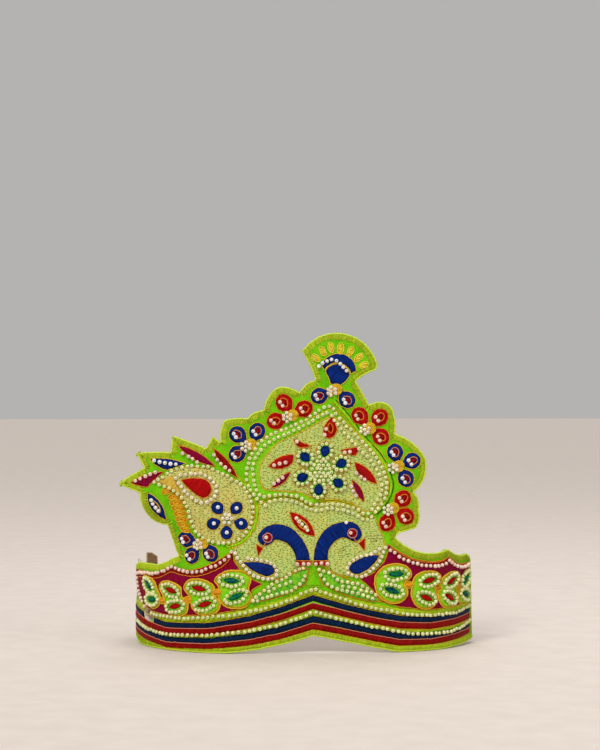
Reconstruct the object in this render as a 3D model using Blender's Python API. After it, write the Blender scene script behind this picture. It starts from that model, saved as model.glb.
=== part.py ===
"""Embroidered costume crown: one stiffened cloth panel, bent round the front of the head.

Every piece is drawn flat, as it would be cut, in millimetres: s runs along the band from the
front centre, positive to the wearer's left, and z is the height above the table. bend() then
curls the flat drawing round the head, and every layer of the crown goes through the same bend.
"""

import math

import bmesh
import bpy
from mathutils import Vector

MM = 0.001

# The plan of the band: how far it has turned from straight ahead at an arc length from the centre.
PLAN_COLUMNS = ("arc_mm", "turn_deg")
PLAN = (
    (0, 0),
    (40, 0),
    (50, 14),
    (62, 24),
    (80, 43),
    (98, 58),
    (131, 87),
    (163, 140),
)
BAND_LENGTH = 163.0
STRAIGHT_FRONT = 40.0
STATION_STEP = 6.0

# Above the band the panel straightens out, and its crest keeps only a little of the turn.
BAND_TOP = 49.0
CREST_START = 89.0
CREST_TURN = 0.15
ROW_STEP = 8.0
FAR_BELOW = -20.0
FAR_ABOVE = 200.0

# Distances out from the panel's face, and the panel's thickness.
PANEL_THICKNESS = 2.3
GAP = 0.3
PATCH_THICKNESS = 0.5
GROUND_LAYER = (GAP, GAP + PATCH_THICKNESS)
MOTIF_LAYER = (GROUND_LAYER[1] + GAP, GROUND_LAYER[1] + GAP + PATCH_THICKNESS)
PANEL_LAYER = (-PANEL_THICKNESS, 0.0)
TAPE_THICKNESS = 1.2
TAPE_LAYER = (-PANEL_THICKNESS - GAP - TAPE_THICKNESS, -PANEL_THICKNESS - GAP)

# An outline is a closed run of corners, anticlockwise, with s, z and how far the edge that
# follows bows out of the shape (or into it, where it is negative). The panel's left end runs on
# behind the head as far as the hook tape, and its right end stops at the side of the head.
OUTLINE_COLUMNS = ("s_mm", "z_mm", "bow_mm")
ARC_STEP = 3.2
LEAST_BOW = 0.05
PANEL_OUTLINE = (
    (-163, 6, 0), (-146, 4.5, 0), (-130, 2.4, 0), (-114, 0, 0), (-50, 0, 1.6), (0.5, 9.4, 0),
    (47, 0, 0), (78, 0, 0), (95, 1, 0), (113.5, 2.2, 0), (109, 48.5, 0.3), (101, 52, -2),
    (80, 56, -4.8),
    (46, 63, -0.4), (47.5, 65.8, 0.3), (57.5, 68.5, 1.2), (58.8, 79, 1.2), (56, 88.5, 1.5),
    (62.8, 99.5, 2), (58.5, 112.5, 1.3), (45.2, 120.6, 0.9), (44.8, 131.5, 1.8), (38, 138.2, 0.8),
    (31, 136.5, 0.4), (23.8, 149.4, -0.8), (34.6, 155.6, 0.6), (35.4, 160, 13.2),
    (-6.3, 166, -0.6), (1.1, 150.2, 1.4), (-7.3, 143.7, 0.3), (-14, 146.2, 1.6),
    (-23, 143.5, 0.8), (-27.3, 133.8, 1), (-36.5, 129.2, 0.5), (-45.5, 129, 1.4),
    (-50.3, 124.5, 0.6), (-50.8, 116.2, 0), (-55, 119.6, 0), (-58.9, 112.8, 0.4),
    (-77.2, 119.9, 0), (-78.3, 110.8, 0.4), (-97.4, 110.3, 0), (-92.8, 102, 0.6),
    (-107.2, 93.2, 0.3), (-95.3, 88.2, 1.2), (-91.3, 74.8, 1.2), (-81, 70.2, 0.3),
    (-78.8, 60, 0.5), (-76.6, 53, 0), (-82.5, 51, -0.6), (-95, 47.2, 0.3), (-118, 46.6, 0),
    (-130, 44.5, 0.3), (-146, 40.5, 0), (-163, 37, 0),
)
TIE_HOLE = {"s_mm": -103.6, "z_mm": 18.2, "half_length_mm": 6.2, "half_height_mm": 3.9}
HOLE_SIDES = 16

# The four stripes, by the height of each one's middle along the band.
STRIPE_COLUMNS = ("s_mm", "navy_upper", "red_upper", "navy_lower", "red_lower")
STRIPE_HEIGHTS = (
    (-157, 23.0, 19.0, 13.5, 10.0),
    (-114, 18.0, 14.4, 9.3, 6.2),
    (-86, 13.9, 10.6, 5.6, 2.9),
    (-58, 15.0, 11.9, 6.4, 3.6),
    (-35, 19.1, 15.7, 9.4, 6.0),
    (-18, 23.8, 19.8, 13.0, 9.4),
    (0, 30.4, 26.0, 18.6, 14.8),
    (15, 26.0, 22.2, 15.8, 12.0),
    (31.5, 21.8, 18.1, 12.0, 8.5),
    (48, 18.6, 15.0, 8.8, 5.3),
    (67, 17.0, 13.7, 7.9, 4.8),
    (87, 17.7, 14.6, 8.8, 6.1),
    (115, 20.3, 17.0, 11.6, 8.6),
)
STRIPES_START = -157.0
STRIPES_END = 109.0
STRIPE_HALF_HEIGHTS = {
    "navy_upper": 1.05, "red_upper": 1.25, "navy_lower": 1.0, "red_lower": 1.15,
}
# The tie hole is punched through the upper navy stripe, which leaves a short end of it behind.
STRIPE_RUN_COLUMNS = ("name", "stripe", "first_s_mm", "last_s_mm")
STRIPE_RUNS = (
    ("stripe_navy_upper", "navy_upper", -96.8, STRIPES_END),
    ("stripe_navy_upper_end", "navy_upper", STRIPES_START, -110.4),
    ("stripe_red_upper", "red_upper", STRIPES_START, STRIPES_END),
    ("stripe_navy_lower", "navy_lower", STRIPES_START, STRIPES_END),
    ("stripe_red_lower", "red_lower", STRIPES_START, STRIPES_END),
)

# Grounds: flat fields of cloth that carry smaller motifs.
GROUNDS = {
    "side_panel_left": ("maroon", (
        (-109.5, 24.4, 0), (-98, 21.6, 0), (-86, 20.3, 0), (-58, 21.7, 0), (-37, 25.6, 0),
        (-34, 30, 0), (-33.6, 35.4, 0), (-27.8, 38.2, 0), (-33, 40.6, 0), (-38.5, 44, 0),
        (-43.2, 50.5, 0), (-44.4, 55.8, 0), (-47.4, 54.2, -1.2), (-68.5, 45.2, -0.3),
        (-81.3, 47.2, -0.5), (-95, 42.6, -0.2), (-129, 42, 0),
    )),
    "side_panel_right": ("maroon", (
        (38.5, 28, 0), (48, 25.2, 0), (64.5, 22.8, 0), (88, 23.2, 0), (103.5, 25.6, 0),
        (106, 46.6, -0.4), (91.5, 46.6, -0.3), (81, 51.2, -0.4), (70.8, 49.3, -0.6),
        (55, 51.8, -0.4), (41, 60, 0), (41.5, 56, 0), (39.4, 50.2, 0), (33, 43.6, 0),
        (25.6, 41, 0), (31.4, 36.2, 0),
    )),
    "central_leaf": ("tissue", (
        (11, 135.2, -0.6), (-20.9, 121.1, 3.9), (-36.3, 100, 2.4), (-28.6, 83.6, -4.2),
        (-1.3, 80.9, -6.4), (29.3, 74.3, 4), (41.7, 94.8, 2.2), (35.1, 113.1, -1.3),
    )),
    "paisley": ("tissue", (
        (-86.4, 94, -2.2), (-69, 80, 5.6), (-52, 60.9, 6), (-33.5, 78.4, 4),
        (-48, 97.8, 1.2), (-66, 102.6, 2.1),
    )),
    "peacock_ground": ("tissue", (
        (-42, 50, 0), (-36.2, 44.4, 0), (-30.8, 41.8, 0.6), (-19.5, 40.8, 1.2),
        (-9.6, 46.6, 0), (-0.6, 50, 0), (8, 47, 1.2), (17.4, 42.4, 0.6), (28, 42.6, 0.6),
        (37.2, 50.4, 0), (39.8, 58, 0), (38.8, 64, 0), (36, 70, 0), (34, 75, 0),
        (29.2, 73.2, 6.4), (-1.3, 79.8, 4.2), (-28.2, 82.4, 0), (-32.2, 80, -4.2),
        (-44.5, 60.2, 0),
    )),
    "sweep_leaf_left": ("neon_green", ((-33.5, 29.3, 2.4), (-4.2, 39.2, 0), (-1.8, 45.6, 2))),
    "sweep_leaf_right": ("neon_green", ((36.3, 28.8, 2.2), (2.4, 45.8, 0), (5, 39.2, 2.4))),
    "centre_peak": ("neon_green", ((-3, 37.6, 0), (4, 37.6, 0), (0.4, 44.6, 0))),
    "side_petal": ("navy", ((-90.8, 88, 3.2), (-81.6, 73.6, 2.8))),
    "flame_leaf_1": ("maroon", ((-99.8, 94, 0.6), (-91, 91.8, -0.3), (-82.2, 99.6, 1.2))),
    "flame_leaf_2": ("navy", ((-89.2, 106.5, 0.8), (-80.2, 101.1, 0), (-69.8, 104.2, 1))),
    "flame_leaf_3": ("maroon", ((-73.8, 113.8, 2.2), (-54.2, 103.2, 1.6))),
    "flame_leaf_4": ("maroon", ((-54.5, 112.4, 1.8), (-41.8, 97, 1.6))),
    "fan_crescent": ("navy", (
        (4.8, 158.2, 0), (6.3, 156.2, -5.4), (20.6, 154.2, 0), (23.9, 155.3, 7.6),
    )),
    "fan_eye": ("navy", ((9.6, 148.6, 0.2), (15.3, 147.8, 0.6), (20, 153, 5), (6.9, 155, -0.3))),
}

# Motifs that lie on those grounds.
MOTIFS = {
    "peacock_neck_left": ("navy", (
        (-9.6, 51, 0), (-1.5, 51, 2.3), (-12, 69, 0.6), (-20, 71.2, 2.2), (-30.7, 64, 1.6),
        (-25.5, 59.3, 0.5), (-21, 62.5, -3.3),
    )),
    "peacock_neck_right": ("navy", (
        (0.3, 51, 0), (8.4, 51, -3.1), (16.6, 63.6, -0.3), (22, 61.2, 1.6), (27, 66, 2.2),
        (18.5, 72.3, 1.8), (4.7, 66.1, 1.3),
    )),
    "peacock_beak_left": ("red", ((-30.3, 53.8, 0), (-27.5, 57.9, 0), (-31.3, 60.4, 0))),
    "peacock_beak_right": ("red", ((24.9, 60.3, 0), (28.5, 56.3, 0), (28.6, 63.4, 0))),
    "peacock_collar_left": ("red", (
        (-9.8, 48.4, 0), (-1.2, 48.4, 0), (-1.3, 50.5, 0), (-9.7, 50.5, 0),
    )),
    "peacock_collar_right": ("red", (
        (0.1, 48.4, 0), (8.7, 48.4, 0), (8.6, 50.5, 0), (0.2, 50.5, 0),
    )),
    "peacock_wing_left": ("navy", (
        (-38.5, 49.9, 1), (-26.5, 42.9, 1), (-21.3, 44.8, 1.2), (-24.2, 48.9, 0.8),
    )),
    "peacock_wing_right": ("navy", (
        (19.6, 46, 1.1), (25.6, 43.8, 1.4), (36.6, 53.2, 1.2), (25, 51.2, 1.2),
    )),
    "almond": ("red", ((-12.4, 77.2, 3.4), (0.6, 64.9, 3.4))),
    "red_drop_top": ("red", (
        (10.2, 129.6, 0.5), (5.8, 123.2, 0.9), (8.3, 118.4, 1.3), (12.9, 123.2, 0.5),
    )),
    "red_leaf_left": ("red", ((-24.3, 102.9, 2.2), (-11.2, 105.6, 0.2), (-11, 109, 1.8))),
    "red_leaf_low_left": ("red", ((-22.4, 91.4, 2), (-12.6, 99.8, 1.2))),
    "red_leaf_top_left": ("red", ((-10.8, 118, 1), (-0.9, 114, 0.6))),
    "red_leaf_top_right": ("red", ((14.8, 111.6, 1), (24.2, 110.2, 0), (25.6, 112.8, 0.6))),
    "red_leaf_right": ("red", ((23.2, 104.4, 0.8), (26, 98, 0.6), (34.8, 93.4, 2.2))),
    "red_leaf_low_right": ("red", ((21.6, 95, 1.2), (27.8, 83.4, 2))),
    "paisley_drop": ("red", (
        (-71.8, 95.2, 1), (-60.6, 85.8, 1.2), (-56, 90.3, 1.4), (-61.3, 96, 0.6),
    )),
}

# Lobed motifs: lobes round a heart, each an ellipse that points away from it.
FLOWER_COLUMNS = ("name", "colour", "heart", "petals")
PETAL_ALONG = 4.5
PETAL_ACROSS = 4.0
BOSS = 2.6
FLOWERS = (
    ("flower_top", "navy", (12.5, 145.1), ((4.4, 141.6), (18.4, 139.4))),
    ("flower_red_left", "red", (-11.7, 130.3), ((-16, 137.6), (-5.2, 134.2), (-20.3, 127.9))),
    ("flower_navy_left", "navy", (-34.8, 115.8), ((-41.2, 120.2), (-30.9, 121.9), (-41.4, 110))),
    ("flower_red_right", "red", (29.9, 124.5), ((25.5, 130.4), (36.6, 129.6), (37.2, 119.2))),
    ("flower_navy_right", "navy", (47.2, 102.9), ((45.4, 110.2), (54.6, 105.6), (51.2, 96.2))),
    ("flower_red_low", "red", (43.9, 79.4), ((49.6, 84.6), (51, 75.4), (41.8, 71.8))),
    ("flower_navy_low", "navy", (-63, 59.7), ((-70.4, 62.3), (-67.5, 53.6), (-56.4, 55.2))),
)
# Flowers whose petals stand evenly round the heart.
RING_COLUMNS = ("name", "colour", "heart", "petals", "petal_distance_mm", "first_petal_deg")
PAISLEY_FLOWER = ("paisley_flower", "navy", (-47.2, 74.2), 5, 7.2, 54.0)
PAISLEY_PETAL = 4.0
ROSETTE = ("rosette", "neon_green", (4.2, 100.1), 6, 9.6, 78.0)
ROSETTE_PETAL_ALONG = 5.2
ROSETTE_PETAL_ACROSS = 4.6
ROSETTE_HEART = 6.4

# Leaf pairs: two leaves one above the other, joined where they meet.
LEAF_PAIR_COLUMNS = ("name", "upper_s", "upper_z", "lower_s", "lower_z", "half_length_mm")
LEAF_PAIRS = (
    ("leaf_pair_left_1", -44.2, 39.4, -42.6, 30.0, 8.6),
    ("leaf_pair_left_2", -62.7, 35.4, -60.8, 26.2, 8.6),
    ("leaf_pair_left_3", -81.4, 33.4, -80.0, 24.6, 8.6),
    ("leaf_pair_left_4", -99.6, 35.6, -97.6, 27.4, 8.4),
    ("leaf_pair_right_1", 45.0, 43.2, 43.6, 34.0, 8.6),
    ("leaf_pair_right_2", 64.4, 38.4, 63.0, 29.0, 8.6),
    ("leaf_pair_right_3", 82.4, 38.0, 81.2, 28.8, 8.0),
    ("leaf_pair_right_4", 98.9, 37.6, 98.0, 29.4, 7.0),
)
LEAF_HALF_HEIGHT = 5.1
LEAF_JOINT = 3.0
LOBE_STEPS = 8
HEART_SHARES = (0.15, 0.5, 0.85)
LEAST_HEART_ARC = 0.05

# The strip of hook tape inside the band's left end, standing a little above the rim.
TAPE_OUTLINE = ((-160.5, 14, 0), (-149, 14, 0), (-149, 51, 0), (-154.5, 50.2, 0), (-160.5, 47, 0))

COLOURS = {
    "lime": (0.352, 0.578, 0.007),
    "neon_green": (0.156, 0.578, 0.003),
    "navy": (0.003, 0.012, 0.102),
    "red": (0.402, 0.004, 0.004),
    "maroon": (0.205, 0.002, 0.027),
    "tissue": (0.578, 0.610, 0.156),
    "brown": (0.262, 0.141, 0.045),
}
CLOTH_ROUGHNESS = 0.85
CUT_TOLERANCE = 1e-5


def clear_scene():
    for item in list(bpy.data.objects):
        bpy.data.objects.remove(item, do_unlink=True)


def cloth_material(name):
    material = bpy.data.materials.new(name)
    material.use_nodes = True
    shader = material.node_tree.nodes["Principled BSDF"]
    shader.inputs["Base Color"].default_value = (*COLOURS[name], 1.0)
    shader.inputs["Roughness"].default_value = CLOTH_ROUGHNESS
    shader.inputs["Metallic"].default_value = 0.0
    return material


def between(rows, x, column=1):
    """Read one column of a table at x, along straight lines between its rows."""
    for low, high in zip(rows, rows[1:]):
        if x <= high[0]:
            share = (x - low[0]) / (high[0] - low[0])
            return low[column] + share * (high[column] - low[column])
    return rows[-1][column]


def smooth_step(share):
    share = min(max(share, 0.0), 1.0)
    return share * share * (3.0 - 2.0 * share)


def turn_kept(z):
    """How much of the band's turn the panel keeps at height z."""
    return 1.0 - (1.0 - CREST_TURN) * smooth_step((z - BAND_TOP) / (CREST_START - BAND_TOP))


def plan_point(s, z):
    """The panel's face and its outward direction at one point of the flat drawing."""
    side = -1.0 if s < 0 else 1.0
    kept = turn_kept(z)
    steps = max(1, int(abs(s)))
    step = abs(s) / steps
    x = 0.0
    y = 0.0
    for index in range(steps):
        heading = math.radians(between(PLAN, (index + 0.5) * step)) * kept
        x += math.cos(heading) * step
        y += math.sin(heading) * step
    heading = math.radians(between(PLAN, abs(s))) * kept
    outward = Vector((side * math.sin(heading), -math.cos(heading), 0.0))
    return Vector((side * x, y, z)), outward


def stations():
    """The arc lengths where the panel turns, the same for every layer."""
    count = math.ceil((BAND_LENGTH - STRAIGHT_FRONT) / STATION_STEP)
    marks = [STRAIGHT_FRONT + STATION_STEP * index for index in range(count + 1)]
    return [-mark for mark in reversed(marks)] + marks


def rows():
    """The heights where the panel straightens out, with one row far below and far above."""
    count = round((CREST_START - BAND_TOP) / ROW_STEP)
    return [FAR_BELOW] + [BAND_TOP + ROW_STEP * index for index in range(count + 1)] + [FAR_ABOVE]


STATIONS = stations()
ROWS = rows()
GRID = {(s, z): plan_point(s, z) for s in STATIONS for z in ROWS}


def bracket(marks, value):
    """The pair of neighbouring marks that holds a value."""
    for low, high in zip(marks, marks[1:]):
        if value <= high:
            return low, high
    return marks[-2], marks[-1]


def bend(s, z, out):
    """Curl one point of the flat drawing round the head, in metres."""
    s_low, s_high = bracket(STATIONS, s)
    z_low, z_high = bracket(ROWS, z)
    across = (s - s_low) / (s_high - s_low)
    up = (z - z_low) / (z_high - z_low)
    corner = [GRID[s_low, z_low], GRID[s_high, z_low], GRID[s_low, z_high], GRID[s_high, z_high]]
    if across + up <= 1.0:
        weights = (1.0 - across - up, across, up, 0.0)
    else:
        weights = (0.0, 1.0 - up, 1.0 - across, across + up - 1.0)
    place = Vector((0.0, 0.0, 0.0))
    for weight, (point, outward) in zip(weights, corner):
        place += weight * (point + out * outward)
    return place * MM


def arc_points(start, end, bow):
    """The points from start up to, not including, end, along an arc that bows to the right."""
    chord = Vector((end[0] - start[0], end[1] - start[1]))
    if abs(bow) < LEAST_BOW:
        return [(start[0], start[1])]
    right = Vector((chord.y, -chord.x)).normalized()
    half = chord.length / 2.0
    radius = (half * half + bow * bow) / (2.0 * abs(bow))
    half_angle = 2.0 * math.atan(abs(bow) / half)
    count = max(2, round(2.0 * half_angle * radius / ARC_STEP))
    middle = Vector((start[0] + end[0], start[1] + end[1])) / 2.0
    side = 1.0 if bow > 0 else -1.0
    centre = middle + right * side * (abs(bow) - radius)
    points = []
    for index in range(count):
        angle = half_angle * (2.0 * index / count - 1.0)
        along = chord.normalized() * radius * math.sin(angle)
        point = centre + along + right * side * radius * math.cos(angle)
        points.append((point.x, point.y))
    return points


def bowed_outline(table):
    points = []
    for row, following in zip(table, table[1:] + table[:1]):
        points += arc_points(row[:2], following[:2], row[2])
    return points


def lobe_reach(angle, distance, along, across):
    """How far a ray from the heart runs before it leaves a lobe."""
    a = (math.cos(angle) / along) ** 2 + (math.sin(angle) / across) ** 2
    b = distance * math.cos(angle) / along ** 2
    c = (distance / along) ** 2 - 1.0
    return (b + math.sqrt(max(b * b - a * c, 0.0))) / a


def lobed_outline(heart, heart_radius, lobes, along, across):
    """Lobes round a heart: each lobe's far side, and the heart's edge between lobes."""
    polar = []
    for s, z in lobes:
        ds = s - heart[0]
        dz = z - heart[1]
        polar.append((math.atan2(dz, ds), math.hypot(ds, dz)))
    polar.sort()
    points = []
    for index, (angle, distance) in enumerate(polar):
        before = (angle - polar[index - 1][0]) % math.tau or math.tau
        after = (polar[(index + 1) % len(polar)][0] - angle) % math.tau or math.tau
        if distance > along:
            spread = math.atan(across / math.sqrt(distance ** 2 - along ** 2))
        else:
            spread = math.pi
        first = -min(spread, before / 2.0)
        last = min(spread, after / 2.0)
        for step in range(LOBE_STEPS + 1):
            share = 0.5 - 0.5 * math.cos(math.pi * step / LOBE_STEPS)
            turn = first + share * (last - first)
            reach = max(lobe_reach(turn, distance, along, across), heart_radius)
            points.append((
                heart[0] + reach * math.cos(angle + turn),
                heart[1] + reach * math.sin(angle + turn),
            ))
        gap = after - last - spread
        if gap > LEAST_HEART_ARC:
            for share in HEART_SHARES:
                turn = angle + last + share * gap
                points.append((
                    heart[0] + heart_radius * math.cos(turn),
                    heart[1] + heart_radius * math.sin(turn),
                ))
    return points


def ring_of_lobes(heart, count, distance, first_deg):
    angles = [math.radians(first_deg) + math.tau * index / count for index in range(count)]
    return [
        (heart[0] + distance * math.cos(angle), heart[1] + distance * math.sin(angle))
        for angle in angles
    ]


def leaf_pair_outline(upper_s, upper_z, lower_s, lower_z, half_length):
    heart = ((upper_s + lower_s) / 2.0, (upper_z + lower_z) / 2.0)
    lobes = ((upper_s, upper_z), (lower_s, lower_z))
    return lobed_outline(heart, LEAF_JOINT, lobes, LEAF_HALF_HEIGHT, half_length)


def stripe_outline(stripe, first, last):
    """A stripe along the band, with the chevron's corner at the front centre."""
    column = STRIPE_COLUMNS.index(stripe)
    half = STRIPE_HALF_HEIGHTS[stripe]
    marks = [first] + [row[0] for row in STRIPE_HEIGHTS if first < row[0] < last] + [last]
    middle = [(s, between(STRIPE_HEIGHTS, s, column)) for s in marks]
    lower = [(s, z - half) for s, z in middle]
    upper = [(s, z + half) for s, z in reversed(middle)]
    return lower + upper


def hole_outline():
    points = []
    for index in range(HOLE_SIDES):
        angle = math.tau * index / HOLE_SIDES
        points.append((
            TIE_HOLE["s_mm"] + TIE_HOLE["half_length_mm"] * math.cos(angle),
            TIE_HOLE["z_mm"] + TIE_HOLE["half_height_mm"] * math.sin(angle),
        ))
    return points


def add_loop(mesh, points):
    corners = [mesh.verts.new((s, 0.0, z)) for s, z in points]
    return [mesh.edges.new(pair) for pair in zip(corners, corners[1:] + corners[:1])]


def cut(mesh, faces, through, across):
    """Cut some of the flat faces along one line of the drawing."""
    if not faces:
        return
    edges = {edge for face in faces for edge in face.edges}
    corners = {corner for face in faces for corner in face.verts}
    bmesh.ops.bisect_plane(
        mesh, geom=list(faces) + list(edges) + list(corners), dist=CUT_TOLERANCE,
        plane_co=through, plane_no=across,
    )


def faces_in(mesh, s_low, s_high, z_low, z_high):
    """The faces whose middle lies in one cell of the bend's grid."""
    inside = []
    for face in mesh.faces:
        middle = face.calc_center_median()
        if s_low < middle.x < s_high and z_low < middle.z < z_high:
            inside.append(face)
    return inside


def cut_along_grid(mesh):
    """Cut the flat shape where the bend creases it, so that all layers crease alike."""
    low = min(corner.co.x for corner in mesh.verts)
    high = max(corner.co.x for corner in mesh.verts)
    top = max(corner.co.z for corner in mesh.verts)
    for s in STATIONS:
        if low < s < high:
            cut(mesh, list(mesh.faces), (s, 0, 0), (1, 0, 0))
    bent_cells = [
        pair for pair in zip(STATIONS, STATIONS[1:])
        if pair[1] > low and pair[0] < high and abs(sum(pair)) > STRAIGHT_FRONT
    ]
    for z_low, z_high in zip(ROWS[1:-1], ROWS[2:-1] + [FAR_ABOVE]):
        if z_low > top:
            continue
        for s_low, s_high in bent_cells:
            cut(mesh, faces_in(mesh, s_low, s_high, FAR_BELOW, FAR_ABOVE), (0, 0, z_low), (0, 0, 1))
    for z_low, z_high in zip(ROWS[1:-1], ROWS[2:-1]):
        for s_low, s_high in bent_cells:
            slope = (z_high - z_low, 0, s_high - s_low)
            cut(mesh, faces_in(mesh, s_low, s_high, z_low, z_high), (s_low, 0, z_high), slope)


def make_piece(name, material, layer, outline, hole=None):
    """Cut a piece from flat cloth, give it its thickness and curl it round the head."""
    mesh = bmesh.new()
    edges = add_loop(mesh, outline)
    if hole:
        edges += add_loop(mesh, hole)
    bmesh.ops.triangle_fill(mesh, edges=edges, use_beauty=True, normal=(0, -1, 0))
    if not hole:
        bmesh.ops.dissolve_faces(mesh, faces=list(mesh.faces))
    cut_along_grid(mesh)
    bmesh.ops.triangulate(mesh, faces=list(mesh.faces))
    front = list(mesh.verts)
    made = bmesh.ops.extrude_face_region(mesh, geom=list(mesh.faces))
    back = [item for item in made["geom"] if isinstance(item, bmesh.types.BMVert)]
    for corners, out in ((front, layer[1]), (back, layer[0])):
        for corner in corners:
            corner.co = bend(corner.co.x, corner.co.z, out)
    bmesh.ops.recalc_face_normals(mesh, faces=list(mesh.faces))
    if mesh.calc_volume(signed=True) < 0.0:
        bmesh.ops.reverse_faces(mesh, faces=list(mesh.faces))
    data = bpy.data.meshes.new(name)
    mesh.to_mesh(data)
    mesh.free()
    data.materials.append(material)
    piece = bpy.data.objects.new(name, data)
    bpy.context.scene.collection.objects.link(piece)
    return piece


def make_crown():
    materials = {name: cloth_material(name) for name in COLOURS}
    panel = bowed_outline(PANEL_OUTLINE)
    make_piece("crown_panel", materials["lime"], PANEL_LAYER, panel, hole_outline())
    make_piece("fastening_tape", materials["brown"], TAPE_LAYER, bowed_outline(TAPE_OUTLINE))
    for name, stripe, first, last in STRIPE_RUNS:
        colour = stripe.split("_")[0]
        make_piece(name, materials[colour], GROUND_LAYER, stripe_outline(stripe, first, last))
    for name, (colour, table) in GROUNDS.items():
        make_piece(name, materials[colour], GROUND_LAYER, bowed_outline(table))
    for name, (colour, table) in MOTIFS.items():
        make_piece(name, materials[colour], MOTIF_LAYER, bowed_outline(table))
    for name, colour, heart, petals in FLOWERS:
        outline = lobed_outline(heart, BOSS, petals, PETAL_ALONG, PETAL_ACROSS)
        make_piece(name, materials[colour], GROUND_LAYER, outline)
    name, colour, heart, count, distance, first = PAISLEY_FLOWER
    petals = ring_of_lobes(heart, count, distance, first)
    outline = lobed_outline(heart, BOSS, petals, PAISLEY_PETAL, PAISLEY_PETAL)
    make_piece(name, materials[colour], MOTIF_LAYER, outline)
    name, colour, heart, count, distance, first = ROSETTE
    petals = ring_of_lobes(heart, count, distance, first)
    outline = lobed_outline(
        heart, ROSETTE_HEART, petals, ROSETTE_PETAL_ALONG, ROSETTE_PETAL_ACROSS)
    make_piece(name, materials[colour], MOTIF_LAYER, outline)
    for name, *sizes in LEAF_PAIRS:
        make_piece(name, materials["neon_green"], MOTIF_LAYER, leaf_pair_outline(*sizes))


def centre_on_origin():
    """Put the origin under the middle of the crown, on the table."""
    low = Vector((math.inf, math.inf, math.inf))
    high = -low
    for piece in bpy.data.objects:
        for corner in piece.data.vertices:
            low = Vector(map(min, low, corner.co))
            high = Vector(map(max, high, corner.co))
    shift = Vector((-(low.x + high.x) / 2.0, -(low.y + high.y) / 2.0, -low.z))
    for piece in bpy.data.objects:
        for corner in piece.data.vertices:
            corner.co += shift


clear_scene()
make_crown()
centre_on_origin()
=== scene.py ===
"""The dressed crown: lime cloth on stiff canvas, satin-stitched motifs, gold cord and seed pearls.

Every piece is drawn flat in millimetres, as on the crown's own pattern: s runs along the band
from the front centre, positive to the wearer's left, and z is the height above the table.
bend() then curls the drawing round the head, and a map of heights keeps each new layer on top
of the layers that lie under it.
"""

import math
import random

import bpy
import numpy as np
from mathutils import Matrix, Vector
from mathutils.geometry import delaunay_2d_cdt


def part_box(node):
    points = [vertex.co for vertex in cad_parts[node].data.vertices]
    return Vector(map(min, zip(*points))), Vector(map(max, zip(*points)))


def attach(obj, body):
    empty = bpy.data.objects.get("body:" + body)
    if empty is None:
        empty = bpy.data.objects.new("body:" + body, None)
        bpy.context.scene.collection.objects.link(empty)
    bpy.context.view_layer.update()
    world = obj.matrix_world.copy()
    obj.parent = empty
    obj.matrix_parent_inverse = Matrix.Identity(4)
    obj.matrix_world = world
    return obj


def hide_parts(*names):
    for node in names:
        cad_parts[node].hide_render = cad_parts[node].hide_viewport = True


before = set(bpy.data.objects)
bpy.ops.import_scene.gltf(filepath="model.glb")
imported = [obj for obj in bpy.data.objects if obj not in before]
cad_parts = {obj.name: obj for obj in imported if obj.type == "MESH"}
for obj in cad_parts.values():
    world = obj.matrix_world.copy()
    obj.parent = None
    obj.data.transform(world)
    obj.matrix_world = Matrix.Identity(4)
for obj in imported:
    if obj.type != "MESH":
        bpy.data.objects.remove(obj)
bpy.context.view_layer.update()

MM = 0.001
SEED = 7
chance = random.Random(SEED)
noise = np.random.default_rng(SEED)

# The plan of the band, as the cut pattern gives it: how far it has turned at an arc length.
PLAN_COLUMNS = ("arc_mm", "turn_deg")
PLAN = ((0, 0), (40, 0), (50, 14), (62, 24), (80, 43), (98, 58), (131, 87), (163, 140))
BAND_TOP = 49.0
CREST_START = 89.0
CREST_TURN = 0.15
ARC_END = 170
HIGHEST = 200
PANEL_THICKNESS = 2.3
THREAD_REST = 0.5

# The drawing's origin in the frame, read from two pieces whose place in the drawing is known.
CENTRE_PEAK_LEFT = -3.0
SHIFT_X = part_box("centre_peak")[0].x / MM - CENTRE_PEAK_LEFT
SHIFT_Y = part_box("crown_panel")[0].y / MM


def plan_tables():
    """How far along, how far back and how much turned the panel is, by height and arc length."""
    table = np.array(PLAN, float)
    arcs = np.arange(ARC_END + 1.0)
    heights = np.arange(HIGHEST + 1.0)
    share = np.clip((heights - BAND_TOP) / (CREST_START - BAND_TOP), 0.0, 1.0)
    kept = 1.0 - (1.0 - CREST_TURN) * share * share * (3.0 - 2.0 * share)
    turn = kept[:, None] * np.radians(np.interp(arcs, table[:, 0], table[:, 1]))
    steps = kept[:, None] * np.radians(np.interp(arcs[:-1] + 0.5, table[:, 0], table[:, 1]))
    start = np.zeros((len(heights), 1))
    along = np.hstack([start, np.cumsum(np.cos(steps), axis=1)])
    back = np.hstack([start, np.cumsum(np.sin(steps), axis=1)])
    return np.stack([along, back, turn])


PLAN_TABLES = plan_tables()


def bend(flat, out):
    """Curl points of the flat drawing round the head, in metres in the frame."""
    flat = np.asarray(flat, float)
    arc = np.clip(np.abs(flat[:, 0]), 0.0, ARC_END - 0.01)
    height = np.clip(flat[:, 1], 0.0, HIGHEST - 0.01)
    a = arc.astype(int)
    h = height.astype(int)
    across = arc - a
    up = height - h
    low = PLAN_TABLES[:, h, a] * (1.0 - across) + PLAN_TABLES[:, h, a + 1] * across
    high = PLAN_TABLES[:, h + 1, a] * (1.0 - across) + PLAN_TABLES[:, h + 1, a + 1] * across
    along, back, turn = low * (1.0 - up) + high * up
    side = np.where(flat[:, 0] < 0.0, -1.0, 1.0)
    x = side * (along + out * np.sin(turn)) + SHIFT_X
    y = back - out * np.cos(turn) + SHIFT_Y
    return np.column_stack([x, y, np.maximum(flat[:, 1], THREAD_REST)]) * MM


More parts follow.
